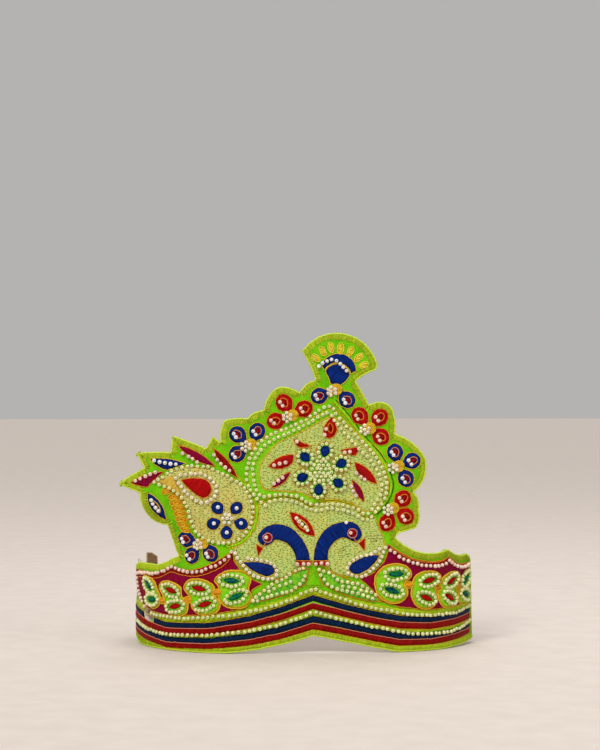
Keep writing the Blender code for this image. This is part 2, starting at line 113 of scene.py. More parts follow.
def bend_out(flat, out):
    """Curled points, and the way out of the panel's face at each."""
    centre = bend(flat, out)
    outward = bend(flat, out + 1.0) - centre
    return centre, outward / np.linalg.norm(outward, axis=1)[:, None]


# Drawing: arcs, curves, evenly spaced marks and filled shapes.
FINE_STEP = 0.8
STRAIGHT_BOW = 0.05
ON_RIM = 0.01
RIM_MARGIN = 0.45


def arc_points(start, end, bow, step=FINE_STEP):
    """Points from start up to, not including, end, along an arc that bows to the right."""
    start = np.array(start, float)
    end = np.array(end, float)
    chord = end - start
    length = np.hypot(*chord)
    right = np.array([chord[1], -chord[0]]) / length
    if abs(bow) < STRAIGHT_BOW:
        count = max(1, round(length / step))
        return start + chord * np.arange(count)[:, None] / count
    half = length / 2.0
    radius = (half * half + bow * bow) / (2.0 * abs(bow))
    half_angle = 2.0 * math.atan(abs(bow) / half)
    count = max(2, round(2.0 * half_angle * radius / step))
    side = math.copysign(1.0, bow)
    centre = (start + end) / 2.0 + right * side * (abs(bow) - radius)
    angle = half_angle * (2.0 * np.arange(count)[:, None] / count - 1.0)
    return centre + chord / length * radius * np.sin(angle) + right * side * radius * np.cos(angle)


def drawn(table, step=FINE_STEP):
    """A closed outline from corners with bows."""
    runs = [arc_points(row[:2], following[:2], row[2], step)
            for row, following in zip(table, table[1:] + table[:1])]
    return np.vstack(runs)


def oval(centre, half_long, half_wide, angle_deg, point=0.0):
    """An oval at an angle, drawn out to a point at its near end by a share."""
    count = max(10, round(math.tau * half_long / FINE_STEP))
    turn = math.tau * np.arange(count) / count
    along = half_long * np.cos(turn)
    narrow = 1.0 - point * np.clip(-np.cos(turn), 0.0, 1.0) ** 1.5
    across = half_wide * np.sin(turn) * narrow
    angle = math.radians(angle_deg)
    return np.column_stack([
        centre[0] + along * math.cos(angle) - across * math.sin(angle),
        centre[1] + along * math.sin(angle) + across * math.cos(angle),
    ])


def bearing(start, end):
    """The angle in degrees at which one place lies from another."""
    return math.degrees(math.atan2(end[1] - start[1], end[0] - start[0]))


def polar(centre, angle_deg, reach):
    angle = math.radians(angle_deg)
    return (centre[0] + reach * math.cos(angle), centre[1] + reach * math.sin(angle))


def smooth_curve(points, closed=False, parts=8):
    """A smooth curve through a few points."""
    points = np.array(points, float)
    if len(points) < 3:
        return points
    if closed:
        ring = np.vstack([points[-1], points, points[:2]])
    else:
        ring = np.vstack([2 * points[0] - points[1], points, 2 * points[-1] - points[-2]])
    t = (np.arange(parts) / parts)[:, None]
    runs = []
    for p0, p1, p2, p3 in zip(ring, ring[1:], ring[2:], ring[3:]):
        runs.append(0.5 * (2 * p1 + (p2 - p0) * t + (2 * p0 - 5 * p1 + 4 * p2 - p3) * t ** 2
                           + (3 * p1 - p0 - 3 * p2 + p3) * t ** 3))
    if not closed:
        runs.append(points[-1:])
    return np.vstack(runs)


def spaced(path, pitch, closed=False):
    """Marks at an even pitch along a path."""
    path = np.asarray(path, float)
    if closed:
        path = np.vstack([path, path[:1]])
    length = np.concatenate([[0.0], np.cumsum(np.hypot(*np.diff(path, axis=0).T))])
    count = max(1, round(length[-1] / pitch))
    marks = np.linspace(0.0, length[-1], count + 1)
    if closed:
        marks = marks[:-1]
    return np.column_stack([np.interp(marks, length, path[:, i]) for i in range(2)])


def edge_distance(points, loop):
    """How far each point lies from a closed outline."""
    least = np.full(len(points), 1e9)
    for start, end in zip(loop, np.roll(loop, -1, axis=0)):
        run = end - start
        share = np.clip((points - start) @ run / max(run @ run, 1e-9), 0.0, 1.0)
        least = np.minimum(least, np.hypot(*(points - start - share[:, None] * run).T))
    return least


def inside(points, loop):
    """Which points lie inside a closed outline."""
    within = np.zeros(len(points), bool)
    for (s1, z1), (s2, z2) in zip(loop, np.roll(loop, -1, axis=0)):
        crosses = (z1 > points[:, 1]) != (z2 > points[:, 1])
        if z1 != z2:
            within ^= crosses & (points[:, 0] < s1 + (points[:, 1] - z1) * (s2 - s1) / (z2 - z1))
    return within


def along_path(path, closed=False):
    """The run of a path at each of its points."""
    if closed:
        return np.roll(path, -1, axis=0) - np.roll(path, 1, axis=0)
    return np.gradient(path, axis=0)


def left_of(run):
    """Unit directions to the left of a run, and the run as unit directions."""
    run = run / np.hypot(*run.T)[:, None]
    return np.column_stack([-run[:, 1], run[:, 0]]), run


def inward(path):
    """The directions into and along the shape of an anticlockwise outline."""
    return left_of(along_path(path, True))


def beside(path, distance):
    """A line beside an open path, to its left by a distance."""
    return path + left_of(along_path(path))[0] * distance


def edge_line(path, distance):
    """A line inside a closed outline, whichever way round that is drawn."""
    into = inward(path)[0] * distance
    if inside(path[:1] + into[:1], path)[0]:
        return path + into
    return path - into


def hex_marks(low, high, spacing):
    rise = spacing * math.sqrt(3.0) / 2.0
    rows = np.arange(low[1], high[1], rise)
    marks = []
    for index, z in enumerate(rows):
        s = np.arange(low[0] + (index % 2) * spacing / 2.0, high[0], spacing)
        marks.append(np.column_stack([s, np.full(len(s), z)]))
    return np.vstack(marks)


def fill(loop, spacing, hole=None):
    """The points and triangles that fill an outline, apart from a hole in it."""
    marks = hex_marks(loop.min(axis=0), loop.max(axis=0), spacing)
    marks = marks[inside(marks, loop)]
    rims = [loop]
    if hole is not None:
        marks = marks[~inside(marks, hole)]
        rims.append(hole)
    edges = []
    first = 0
    for rim in rims:
        marks = marks[edge_distance(marks, rim) > RIM_MARGIN * spacing]
        count = len(rim)
        edges += [(first + i, first + (i + 1) % count) for i in range(count)]
        first += count
    points = np.vstack(rims + [marks])
    found = delaunay_2d_cdt([Vector(p) for p in points], edges, [], 1, 1e-6)
    points = np.array([tuple(p) for p in found[0]])
    faces = np.array(found[2])
    middles = points[faces].mean(axis=1)
    keep = inside(middles, loop)
    if hole is not None:
        keep &= ~inside(middles, hole)
    return points, faces[keep]


def rim_walls(faces, rim):
    """Four-sided faces between two copies of a sheet, along its open edges."""
    count = len(rim)
    edges = dict.fromkeys(
        (a, b) for face in faces.tolist() for a, b in zip(face, face[1:] + face[:1]))
    return [(b, a, a + count, b + count)
            for a, b in edges if (b, a) not in edges and rim[a] and rim[b]]


# The map of heights: how far the work stands out from the panel's face at each place.
MAP_STEP = 0.5
MAP_LOW = (-165.0, -2.0)
MAP_SIZE = (661, 361)
HEIGHTS = np.zeros(MAP_SIZE)


def height_at(points):
    points = np.asarray(points, float)
    cell = (points - MAP_LOW) / MAP_STEP
    cell = np.clip(cell, 0.0, np.array(MAP_SIZE) - 1.001)
    i, j = cell.astype(int).T
    u, v = (cell - cell.astype(int)).T
    return (HEIGHTS[i, j] * (1 - u) * (1 - v) + HEIGHTS[i + 1, j] * u * (1 - v)
            + HEIGHTS[i, j + 1] * (1 - u) * v + HEIGHTS[i + 1, j + 1] * u * v)


def dome(depth, shoulder):
    """A rounded shoulder that rises to one at a distance from the edge."""
    share = 1.0 - np.clip(depth / shoulder, 0.0, 1.0)
    return np.sqrt(1.0 - share * share)


def raise_map(loop, rise, shoulder):
    low = np.floor((loop.min(axis=0) - MAP_LOW) / MAP_STEP).astype(int)
    high = np.ceil((loop.max(axis=0) - MAP_LOW) / MAP_STEP).astype(int) + 1
    i, j = np.meshgrid(np.arange(low[0], high[0]), np.arange(low[1], high[1]), indexing="ij")
    i = i.ravel()
    j = j.ravel()
    points = np.column_stack([i, j]) * MAP_STEP + MAP_LOW
    within = inside(points, loop)
    rises = rise * dome(edge_distance(points[within], loop), shoulder)
    HEIGHTS[i[within], j[within]] += rises


# Materials, in linear colours.
def tint(red, green, blue):
    """A colour given as a screen shows it, made linear."""
    channels = [c / 255.0 for c in (red, green, blue)]
    return tuple(c / 12.92 if c <= 0.04045 else ((c + 0.055) / 1.055) ** 2.4 for c in channels)


def shaded(colour, shade):
    return [channel * shade for channel in colour]


BLACK = (0, 0, 0)
WHITE = (1, 1, 1)


class Finish:
    """A material with a few nodes: a base colour that varies, and a bump."""

    def __init__(self, name, roughness, sheen=0.0, specular=0.5, coat=0.0):
        self.material = bpy.data.materials.new(name)
        self.material.use_nodes = True
        self.tree = self.material.node_tree
        self.shader = self.tree.nodes["Principled BSDF"]
        self.shader.inputs["Roughness"].default_value = roughness
        self.shader.inputs["Sheen Weight"].default_value = sheen
        self.shader.inputs["Specular IOR Level"].default_value = specular
        self.shader.inputs["Coat Weight"].default_value = coat
        self.flat = self.node("ShaderNodeUVMap", uv_map="flat").outputs["UV"]

    def node(self, kind, links=None, **settings):
        made = self.tree.nodes.new(kind)
        for name, value in settings.items():
            setattr(made, name, value)
        for name, value in (links or {}).items():
            if isinstance(value, bpy.types.NodeSocket):
                self.tree.links.new(value, made.inputs[name])
            else:
                made.inputs[name].default_value = value
        return made

    def stretched(self, across, along):
        """The flat drawing's coordinates, squeezed by a scale each way."""
        return self.node("ShaderNodeMapping", {"Vector": self.flat, "Scale": (across, along, 1.0)}
                         ).outputs["Vector"]

    def noise(self, vector, scale=1.0, detail=3.0):
        links = {"Vector": vector, "Scale": scale, "Detail": detail}
        return self.node("ShaderNodeTexNoise", links, noise_dimensions="2D").outputs["Fac"]

    def ramp(self, value, *stops):
        """A run of colours along a value."""
        made = self.node("ShaderNodeValToRGB", {"Fac": value})
        elements = made.color_ramp.elements
        while len(elements) < len(stops):
            elements.new(0.5)
        for element, (position, colour) in zip(elements, stops):
            element.position = position
            element.color = (*colour, 1.0)
        return made.outputs["Color"]

    def mix(self, share, one, two, blend="MIX"):
        made = self.node("ShaderNodeMix", data_type="RGBA", blend_type=blend)
        for socket, value in ((made.inputs[0], share), (made.inputs[6], one), (made.inputs[7], two)):
            if isinstance(value, bpy.types.NodeSocket):
                self.tree.links.new(value, socket)
            elif isinstance(value, tuple):
                socket.default_value = (*value, 1.0)
            else:
                socket.default_value = value
        return made.outputs[2]

    def colour(self, socket):
        self.tree.links.new(socket, self.shader.inputs["Base Color"])

    def bump(self, height, distance_mm, strength=1.0):
        links = {"Height": height, "Distance": distance_mm * MM, "Strength": strength}
        made = self.node("ShaderNodeBump", links)
        self.tree.links.new(made.outputs["Normal"], self.shader.inputs["Normal"])


def satin(name, light, middle, dark, second=None):
    """Satin stitch: fine threads side by side, running along the drawing's second axis."""
    finish = Finish(name, 0.5, specular=0.06)
    threads = finish.noise(finish.stretched(2.6, 0.16), detail=4.0)
    rows = finish.noise(finish.stretched(0.5, 0.35), detail=2.0)
    colour = finish.ramp(threads, (0.30, dark), (0.50, middle), (0.72, light))
    if second:
        colour = finish.mix(finish.ramp(rows, (0.40, BLACK), (0.62, WHITE)), colour, second)
    finish.colour(colour)
    wave = finish.node("ShaderNodeTexWave", {
        "Vector": finish.stretched(1.0, 0.04), "Scale": 1.1, "Distortion": 1.2, "Detail": 2.0,
    }, bands_direction="X").outputs["Fac"]
    finish.bump(finish.mix(0.5, wave, threads), 0.14)
    return finish.material


def cloth(name, light, dark, grain):
    """Felted cloth: a soft mottle and a fine nap."""
    finish = Finish(name, 0.85, sheen=0.06, specular=0.1)
    mottle = finish.noise(finish.stretched(0.11, 0.11), detail=5.0)
    nap = finish.noise(finish.stretched(grain, grain), detail=3.0)
    finish.colour(finish.ramp(finish.mix(0.55, mottle, nap), (0.36, dark), (0.62, light)))
    finish.bump(nap, 0.25)
    return finish.material


def tissue(name, light, shade, other_light, other_shade):
    """Pale gold-green fill stitch, with short dark gaps where the needle turned."""
    finish = Finish(name, 0.6, specular=0.14)
    threads = finish.noise(finish.stretched(0.35, 3.2), detail=4.0)
    patches = finish.noise(finish.stretched(0.09, 0.09), detail=3.0)
    ground = finish.mix(
        finish.ramp(patches, (0.38, BLACK), (0.62, WHITE)),
        finish.ramp(threads, (0.30, shade), (0.62, light)),
        finish.ramp(threads, (0.30, other_shade), (0.62, other_light)),
    )
    near = finish.node("ShaderNodeTexVoronoi", {
        "Vector": finish.stretched(0.46, 0.86), "Scale": 1.0, "Randomness": 0.75,
    }, voronoi_dimensions="2D").outputs["Distance"]
    gaps = finish.ramp(near, (0.13, BLACK), (0.24, WHITE))
    finish.colour(finish.mix(gaps, TISSUE_GAP, ground))
    finish.bump(finish.mix(0.5, threads, gaps), 0.2)
    return finish.material


def pearl(name):
    """Pearl glaze coloured by each bead's tint: plain cream, or cream with a painted reflection of the ground the
    bead lies on.
    """
    finish = Finish(name, 0.3, specular=0.5, coat=0.15)
    finish.colour(finish.node("ShaderNodeAttribute", attribute_name="tint").outputs["Color"])
    return finish.material


def thread(name):
    """Twisted thread, whose colour is carried by the strand."""
    finish = Finish(name, 0.55, specular=0.2)
    carried = finish.node("ShaderNodeAttribute", attribute_name="tint").outputs["Color"]
    twist = finish.node("ShaderNodeTexWave", {
        "Vector": finish.flat, "Scale": 0.9, "Distortion": 0.6,
    }, bands_direction="DIAGONAL").outputs["Fac"]
    shade = finish.ramp(twist, (0.0, (0.7, 0.7, 0.7)), (0.6, (1.0, 1.0, 1.0)))
    finish.colour(finish.mix(1.0, carried, shade, "MULTIPLY"))
    finish.bump(twist, 0.12)
    return finish.material


TISSUE_GAP = tint(62, 84, 18)
LIME = tint(176, 212, 26)
LIME_BRIGHT = tint(206, 232, 54)
GOLD = tint(244, 200, 34)
LOOP_GOLD = tint(248, 234, 84)
ORANGE = tint(240, 138, 30)
PINK = tint(232, 138, 104)
PEARL = tint(230, 218, 186)
# Cream pearl with painted reflections of the green cloth, the red and maroon satin, and the navy satin that the
# beads lie on.
PEARL_GREEN_REFLECTION = tint(218, 220, 154)
PEARL_PINK_REFLECTION = tint(234, 204, 184)
PEARL_NAVY_REFLECTION = tint(230, 230, 230)
# The bore's colour: painted shade inside the hole, over the thread that shows in it.
BORE_SHADE = tint(104, 98, 62)
TAPE_BROWN = tint(178, 140, 100)
SHADOW_GREEN = tint(36, 84, 4)
STITCH_BROWN = tint(84, 66, 24)

MATERIALS = {
    "neon": cloth("neon_cloth", tint(120, 198, 0), tint(86, 164, 0), 1.6),
    "canvas": cloth("canvas_cloth", tint(222, 206, 190), tint(188, 168, 150), 2.4),
    "lime": satin("lime_satin", tint(192, 212, 42), tint(162, 186, 16), tint(118, 146, 4)),
    "piping": satin("piping_satin", tint(176, 226, 40), tint(140, 204, 14), tint(92, 160, 4)),
    "navy": satin("navy_satin", tint(6, 50, 138), tint(0, 32, 104), tint(0, 18, 64)),
    "navy_dark": satin("navy_band_satin", tint(8, 42, 80), tint(2, 26, 55), tint(0, 12, 30)),
    "teal": satin("teal_satin", tint(6, 92, 96), tint(4, 52, 82), tint(2, 26, 50),
                  tint(4, 112, 58)),
    "red": satin("red_satin", tint(196, 8, 8), tint(162, 2, 4), tint(112, 0, 2)),
    "red_dark": satin("red_band_satin", tint(160, 12, 6), tint(132, 6, 2), tint(90, 2, 0)),
    "maroon": satin("maroon_satin", tint(154, 2, 36), tint(128, 0, 24), tint(88, 0, 12),
                    tint(126, 0, 58)),
    "emerald": satin("emerald_satin", tint(124, 204, 60), tint(76, 172, 34), tint(34, 124, 18),
                     tint(132, 190, 26)),
    "leaf": satin("leaf_satin", tint(184, 220, 60), tint(144, 200, 24), tint(96, 158, 6),
                  tint(112, 206, 10)),
    "yellow": satin("yellow_satin", tint(238, 214, 40), tint(222, 194, 14), tint(180, 154, 2)),
    "black": satin("black_satin", tint(30, 34, 22), tint(16, 18, 12), tint(6, 8, 6)),
    "gold": satin("gold_satin", tint(246, 210, 92), tint(232, 184, 56), tint(196, 142, 24)),
    "amber": satin("amber_satin", tint(234, 170, 44), tint(212, 140, 24), tint(168, 98, 8)),
    "straw": satin("straw_satin", tint(222, 190, 84), tint(204, 168, 62), tint(176, 138, 44)),
    "tissue": tissue("tissue_weave", tint(188, 204, 116), tint(144, 166, 64),
                     tint(196, 200, 108), tint(160, 164, 60)),
    "straw_tissue": tissue("straw_tissue_weave", tint(200, 200, 116), tint(162, 166, 66),
                           tint(206, 192, 108), tint(172, 158, 64)),
    "pearl": pearl("pearl_glaze"),
    "thread": thread("twisted_thread"),
}


def place(name, data):
    """A new object in the scene."""
    made = bpy.data.objects.new(name, data)
    bpy.context.scene.collection.objects.link(made)
    return made


class Piece:
    """A named piece that gathers its shapes and becomes one mesh."""

    def __init__(self, name, slot=None, replaces=()):
        self.name = name
        self.slot = slot
        self.replaces = replaces
        self.points = []
        self.faces = []
        self.flat = []
        self.tints = []
        self.kinds = []
        self.slots = []
        self.count = 0

    def add(self, points, faces, material, flat, colour=(1.0, 1.0, 1.0)):
        if material not in self.slots:
            self.slots.append(material)
        self.points.append(points)
        self.flat.append(flat)
        colours = np.ones((len(points), 4))
        colours[:, :3] = colour
        self.tints.append(colours)
        for block in faces:
            block = np.asarray(block)
            self.faces += (block + self.count).tolist()
            self.kinds += [self.slots.index(material)] * len(block)
        self.count += len(points)

    def add_walls(self, walls, kinds):
        self.faces += walls
        self.kinds += kinds

    def make(self):
        mesh = bpy.data.meshes.new(self.name)
        mesh.from_pydata(np.vstack(self.points).tolist(), [], self.faces)
        for name in self.slots:
            mesh.materials.append(MATERIALS[name])
        mesh.polygons.foreach_set("material_index", np.array(self.kinds, np.int32))
        mesh.polygons.foreach_set("use_smooth", np.ones(len(self.kinds), bool))
        corner = np.zeros(len(mesh.loops), np.int32)
        mesh.loops.foreach_get("vertex_index", corner)
        flat = mesh.uv_layers.new(name="flat")
        flat.data.foreach_set("uv", np.vstack(self.flat)[corner].astype(np.float32).ravel())
        colours = mesh.color_attributes.new("tint", "FLOAT_COLOR", "POINT")
        colours.data.foreach_set("color", np.vstack(self.tints).astype(np.float32).ravel())
        mesh.update()
        made = place(self.name, mesh)
        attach(made, "root")
        if self.replaces:
            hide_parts(*self.replaces)


def turned(points, angle_deg):
    """The drawing's coordinates, turned so that the stitches run along the second axis."""
    angle = math.radians(angle_deg)
    return points @ np.array([[math.cos(angle), -math.sin(angle)],
                              [math.sin(angle), math.cos(angle)]]).T


# How far each kind of stitching is padded up, and how wide its rounded shoulder is.
PADDING_COLUMNS = ("rise_mm", "shoulder_mm")
PADDING = {
    "stripe": (0.75, 1.3), "strip": (0.3, 0.8), "field": (0.8, 1.6), "motif": (0.9, 1.5),
    "weave": (0.35, 0.8), "piping": (0.55, 0.9), "thin": (0.25, 0.8), "inner": (0.2, 0.6),
    "petal": (1.0, 2.0), "boss": (0.9, 1.6), "round_petal": (1.1, 2.2), "heart": (0.8, 1.4),
    "rosette": (0.5, 1.2), "lobe": (0.7, 1.6), "eye": (0.6, 1.2), "core": (0.5, 1.0),
    "knot": (0.9, 1.4), "loop": (0.3, 0.5), "iris": (0.4, 0.8),
}
UNDERSIDE = 0.15
CORD_STEP = 0.8
CORD_WANDER = 0.08


def patch(piece, loop, material, padding, angle=0.0, spacing=FINE_STEP, hole=None):
    """A padded patch of stitches on top of what lies under it, closed underneath."""
    rise, shoulder = PADDING[padding]
    points, faces = fill(loop, spacing, hole)
    depth = edge_distance(points, loop)
    if hole is not None:
        depth = np.minimum(depth, edge_distance(points, hole))
    under = height_at(points)
    inner = depth >= ON_RIM
    top = bend(points, under + rise * dome(depth, shoulder))
    below = bend(points, under - UNDERSIDE)
    low_index = np.arange(len(points))
    low_index[inner] = len(points) + np.arange(inner.sum())
    flat = turned(points, angle)
    piece.add(np.vstack([top, below[inner]]), [faces, low_index[faces][:, ::-1]], material,
              np.vstack([flat, flat[inner]]))
    raise_map(loop, rise, shoulder)


def cord(piece, path, radius, colour, closed=False, lift=0.6, wander=CORD_WANDER):
    """A thread couched along a path, on top of what lies under it."""
    path = spaced(path, CORD_STEP, closed)
    path = path + noise.normal(0.0, wander, path.shape)
    centre, outward = bend_out(path, height_at(path) + radius * lift)
    add_tube(piece, centre, outward, radius, colour, closed)


def strand(piece, flat, out, radius, colour):
    """A fine loose fibre."""
    centre, outward = bend_out(flat, out)
    add_tube(piece, centre, outward, radius, colour, sides=3)


def add_tube(piece, centre, outward, radius, colour, closed=False, sides=5):
    side = np.cross(along_path(centre, closed), outward)
    side /= np.linalg.norm(side, axis=1)[:, None] + 1e-12
    count = len(centre)
    around = np.arange(sides)
    rings = []
    for turn in math.tau * around / sides:
        rings.append(centre + radius * MM * (math.cos(turn) * side + math.sin(turn) * outward))
    points = np.stack(rings, axis=1).reshape(-1, 3)
    first = np.arange(count if closed else count - 1) * sides
    following = (first + sides) % (count * sides)
    faces = []
    for index, beside_it in zip(around, np.roll(around, -1)):
        faces.append(np.column_stack([
            first + index, following + index, following + beside_it, first + beside_it]))
    length = np.arange(count) * np.linalg.norm(centre[1] - centre[0]) / MM
    flat = np.column_stack([
        np.repeat(length, sides), np.tile(around * radius * math.tau / sides, count)])
    piece.add(points, faces, "thread", flat, colour)
    if not closed:
        start = piece.count - len(points)
        ends = [(start + around[::-1]).tolist(), (piece.count - sides + around).tolist()]
        piece.add_walls(ends, [piece.slots.index("thread")] * 2)


# A seed pearl: a round bead with the end of its bore showing, as rings of radius and height.
PEARL_RADIUS = 1.1
BEAD_SIDES = 12
BEAD_COLUMNS = ("radius", "height")
BORE_RINGS = ((0.0, 0.50), (0.22, 0.56))
BEAD_RINGS = ((0.22, 0.56), (0.30, 0.90), (0.60, 0.79), (0.87, 0.48), (1.0, 0.0), (0.84, -0.52),
              (0.45, -0.85))
BEAD_SEAT = 0.62
BEAD_TILT = 0.28
BEAD_SIZES = (0.92, 1.07)
BEAD_SHADES = (0.86, 1.05)
BEAD_WARMTH = 0.04


def bead_part(rings):
    """The points and faces of one turned part of a bead."""
    around = np.arange(BEAD_SIDES)
    turn = math.tau * around / BEAD_SIDES
    points = [np.column_stack([radius * np.cos(turn), radius * np.sin(turn),
                               np.full(BEAD_SIDES, height)]) for radius, height in rings]
    following = (around + 1) % BEAD_SIDES
    faces = []
    for upper in range(0, (len(rings) - 1) * BEAD_SIDES, BEAD_SIDES):
        lower = upper + BEAD_SIDES
        faces.append(np.column_stack([
            upper + around, lower + around, lower + following, upper + following]))
    return np.vstack(points), faces


BORE = bead_part(BORE_RINGS)
BEAD = bead_part(BEAD_RINGS)


def pearls(piece, marks, colour=PEARL, jitter=0.16):
    """Sew a bead at each mark, each tipped a little its own way."""
    marks = np.asarray(marks, float)
    marks = marks + noise.normal(0.0, jitter, marks.shape)
    for seat, normal, flat in zip(*bend_out(marks, height_at(marks)), marks):
        scale = PEARL_RADIUS * chance.uniform(*BEAD_SIZES)
        tip = Vector(normal) + Vector([chance.gauss(0.0, BEAD_TILT) for _ in range(3)])
        turn = Matrix.Rotation(chance.uniform(0.0, math.tau), 3, "Z")
        axes = np.array(tip.to_track_quat("Z", "Y").to_matrix() @ turn)
        centre = seat + normal * scale * BEAD_SEAT * MM
        shade = chance.uniform(*BEAD_SHADES)
        warm = chance.uniform(-BEAD_WARMTH, BEAD_WARMTH)
        tinted = (colour[0] * (shade + warm), colour[1] * shade, colour[2] * (shade - warm))
        for (points, faces), painted in ((BEAD, tinted), (BORE, BORE_SHADE)):
            placed = centre + points @ axes.T * scale * MM
            piece.add(placed, faces, "pearl", np.tile(flat, (len(points), 1)), painted)


# The panel: lime cloth in front, bare canvas behind, and a punched tie hole.
OUTLINE_COLUMNS = ("s_mm", "z_mm", "bow_mm")
PANEL_OUTLINE = (
    (-163, 6, 0), (-146, 4.5, 0), (-130, 2.4, 0), (-114, 0, 0), (-50, 0, 1.6), (0.5, 9.4, 0),
    (47, 0, 0), (78, 0, 0), (95, 1, 0), (113.5, 2.2, 0), (109, 48.5, 0.3), (101, 52, -2),
    (80, 56, -4.8), (46, 63, -0.4), (47.5, 65.8, 0.3), (57.5, 68.5, 1.2), (58.8, 79, 1.2),
    (56, 88.5, 1.5), (62.8, 99.5, 2), (58.5, 112.5, 1.3), (45.2, 120.6, 0.9), (44.8, 131.5, 1.8), (38, 138.2, 0.8),
    (31, 136.5, 0.4), (23.8, 149.4, -0.8), (34.6, 155.6, 0.6), (35.4, 160, 13.2),
    (-6.3, 166, -0.6), (1.1, 150.2, 1.4), (-7.3, 143.7, 0.3), (-14, 146.2, 1.6),
    (-23, 143.5, 0.8), (-27.3, 133.8, 1), (-36.5, 129.2, 0.5), (-45.5, 129, 1.4),
    (-50.3, 124.5, 0.6), (-50.8, 116.2, 0), (-55, 119.6, 0), (-58.9, 112.8, 0.4),
    (-77.2, 119.9, 0), (-78.3, 110.8, 0.4), (-97.4, 110.3, 0), (-92.8, 102, 0.6),
    (-107.2, 93.2, 0.3), (-95.3, 88.2, 1.2), (-91.3, 74.8, 1.2), (-81, 70.2, 0.3),
    (-78.8, 60, 0.5), (-76.6, 53, 0), (-82.5, 51, -0.6), (-95, 47.2, 0.3), (-118, 46.6, 0),
    (-130, 44.5, 0.3), (-146, 40.5, 0), (-163, 37, 0),
)
HOLE_CENTRE = (-103.6, 18.2)
HOLE_HALF = (6.2, 3.9)
HOLE_MARGIN = 0.2
EDGE_INSET = 0.6
PANEL_STEP = 1.1
PANEL_SPACING = 1.9
PUCKER = 0.05
EDGE_ROUND = 1.0
EDGE_ROUND_WIDE = 2.0
PANEL = drawn(PANEL_OUTLINE, PANEL_STEP)
PANEL = PANEL + inward(PANEL)[0] * EDGE_INSET
HOLE = oval(HOLE_CENTRE, *HOLE_HALF, 0.0)
HOLE_RIM = oval(HOLE_CENTRE, HOLE_HALF[0] + HOLE_MARGIN, HOLE_HALF[1] + HOLE_MARGIN, 0.0)


def panel_cloth():
    """The panel's two faces, drawn in towards each other along the rim."""
    piece = Piece("panel_cloth", "lime_cloth", ("crown_panel",))
    points, faces = fill(PANEL, PANEL_SPACING, HOLE)
    depth = edge_distance(points, PANEL)
    punched = edge_distance(points, HOLE) < ON_RIM
    pucker = noise.normal(0.0, PUCKER, len(points))
    draw = EDGE_ROUND * (1.0 - dome(depth, EDGE_ROUND_WIDE))
    piece.add(bend(points, -draw + pucker), [faces], "neon", points)
    piece.add(bend(points, -PANEL_THICKNESS + draw + pucker), [faces[:, ::-1]], "canvas", points)
    wall = rim_walls(faces, (depth < ON_RIM) | punched)
    piece.add_walls(wall, [int(punched[face[0] % len(points)]) for face in wall])
    piece.make()


# The overlocked edge: threads that wrap the rim, and a looser cord along it.
STITCH_PITCH = 0.52
STITCH_COLUMNS = ("in_from_edge_mm", "out_from_face_mm")
STITCH_SHAPE = (
    (2.9, -0.05), (2.2, 0.16), (1.2, 0.16), (0.5, -0.05), (0.2, -1.15), (0.5, -2.4),
    (1.2, -2.6), (2.5, -2.5),
)
STITCH_RADIUS = 0.42
STITCH_LEAN = 0.7
STITCH_LEANS = (0.6, 0.95)
STITCH_LENGTHS = (0.86, 1.12)
STITCH_WANDER = 0.08
STITCH_SHADES = (0.3, 1.0)
STITCH_DARK = tint(142, 170, 10)
STITCH_LIGHT = tint(204, 224, 36)
LEAST_ROOM = 0.35
RIM_CORD_STEP = 0.9
RIM_CORD_OUT = 0.02
RIM_CORD_WANDER = 0.1
RIM_CORD_RADIUS = 0.48


def overlock_edge():
    piece = Piece("overlock_edge", "lime_cloth")
    path = spaced(PANEL, STITCH_PITCH, closed=True)
    into, run = inward(path)
    reach = STITCH_SHAPE[0][0]
    room = np.clip(edge_distance(path + into * reach, PANEL) / reach, LEAST_ROOM, 1.0)
    for foot, direction, along, share in zip(path, into, run, room):
        lean = along * chance.uniform(*STITCH_LEANS) * STITCH_LEAN
        length = chance.uniform(*STITCH_LENGTHS)
        deep = np.array([depth * share * length for depth, _ in STITCH_SHAPE])[:, None]
        flat = foot + direction * deep + lean * deep / reach
        out = np.array([height + chance.uniform(-STITCH_WANDER, STITCH_WANDER)
                        for _, height in STITCH_SHAPE])
        centre = bend(flat, out)
        along_rim = centre[1] - bend(flat[1:2] + along, out[1:2])[0]
        outward = np.cross(along_path(centre), np.tile(along_rim, (len(flat), 1)))
        outward /= np.linalg.norm(outward, axis=1)[:, None] + 1e-12
        shade = chance.uniform(*STITCH_SHADES)
        mixed = [dark + (light - dark) * shade for dark, light in zip(STITCH_DARK, STITCH_LIGHT)]
        add_tube(piece, centre, outward, STITCH_RADIUS, mixed, sides=4)
    piece.make()


def rim_cord():
    """The brighter looper thread that lies along the very edge."""
    piece = Piece("rim_cord", "lime_cloth")
    path = spaced(PANEL, RIM_CORD_STEP, closed=True)
    shift = RIM_CORD_OUT + noise.normal(0.0, RIM_CORD_WANDER, len(path))
    path = path + inward(path)[0] * shift[:, None]
    out = noise.normal(0.0, RIM_CORD_WANDER, len(path)) - RIM_CORD_OUT
    centre, outward = bend_out(path, out)
    add_tube(piece, centre, outward, RIM_CORD_RADIUS, LIME_BRIGHT, closed=True, sides=6)
    piece.make()


FUZZ_COUNT = 2600
FUZZ_STEP = 0.3
FUZZ_RADIUS = 0.07
FUZZ_LENGTHS = (0.5, 1.4)
FUZZ_DEPTHS = (0.0, 1.6)
FUZZ_CURL = 0.25
FUZZ_BASES = (-1.7, 0.5)
FUZZ_RISES = ((-0.2, 0.3), (-0.4, 0.6))
FUZZ_SHADES = (0.9, 1.3)


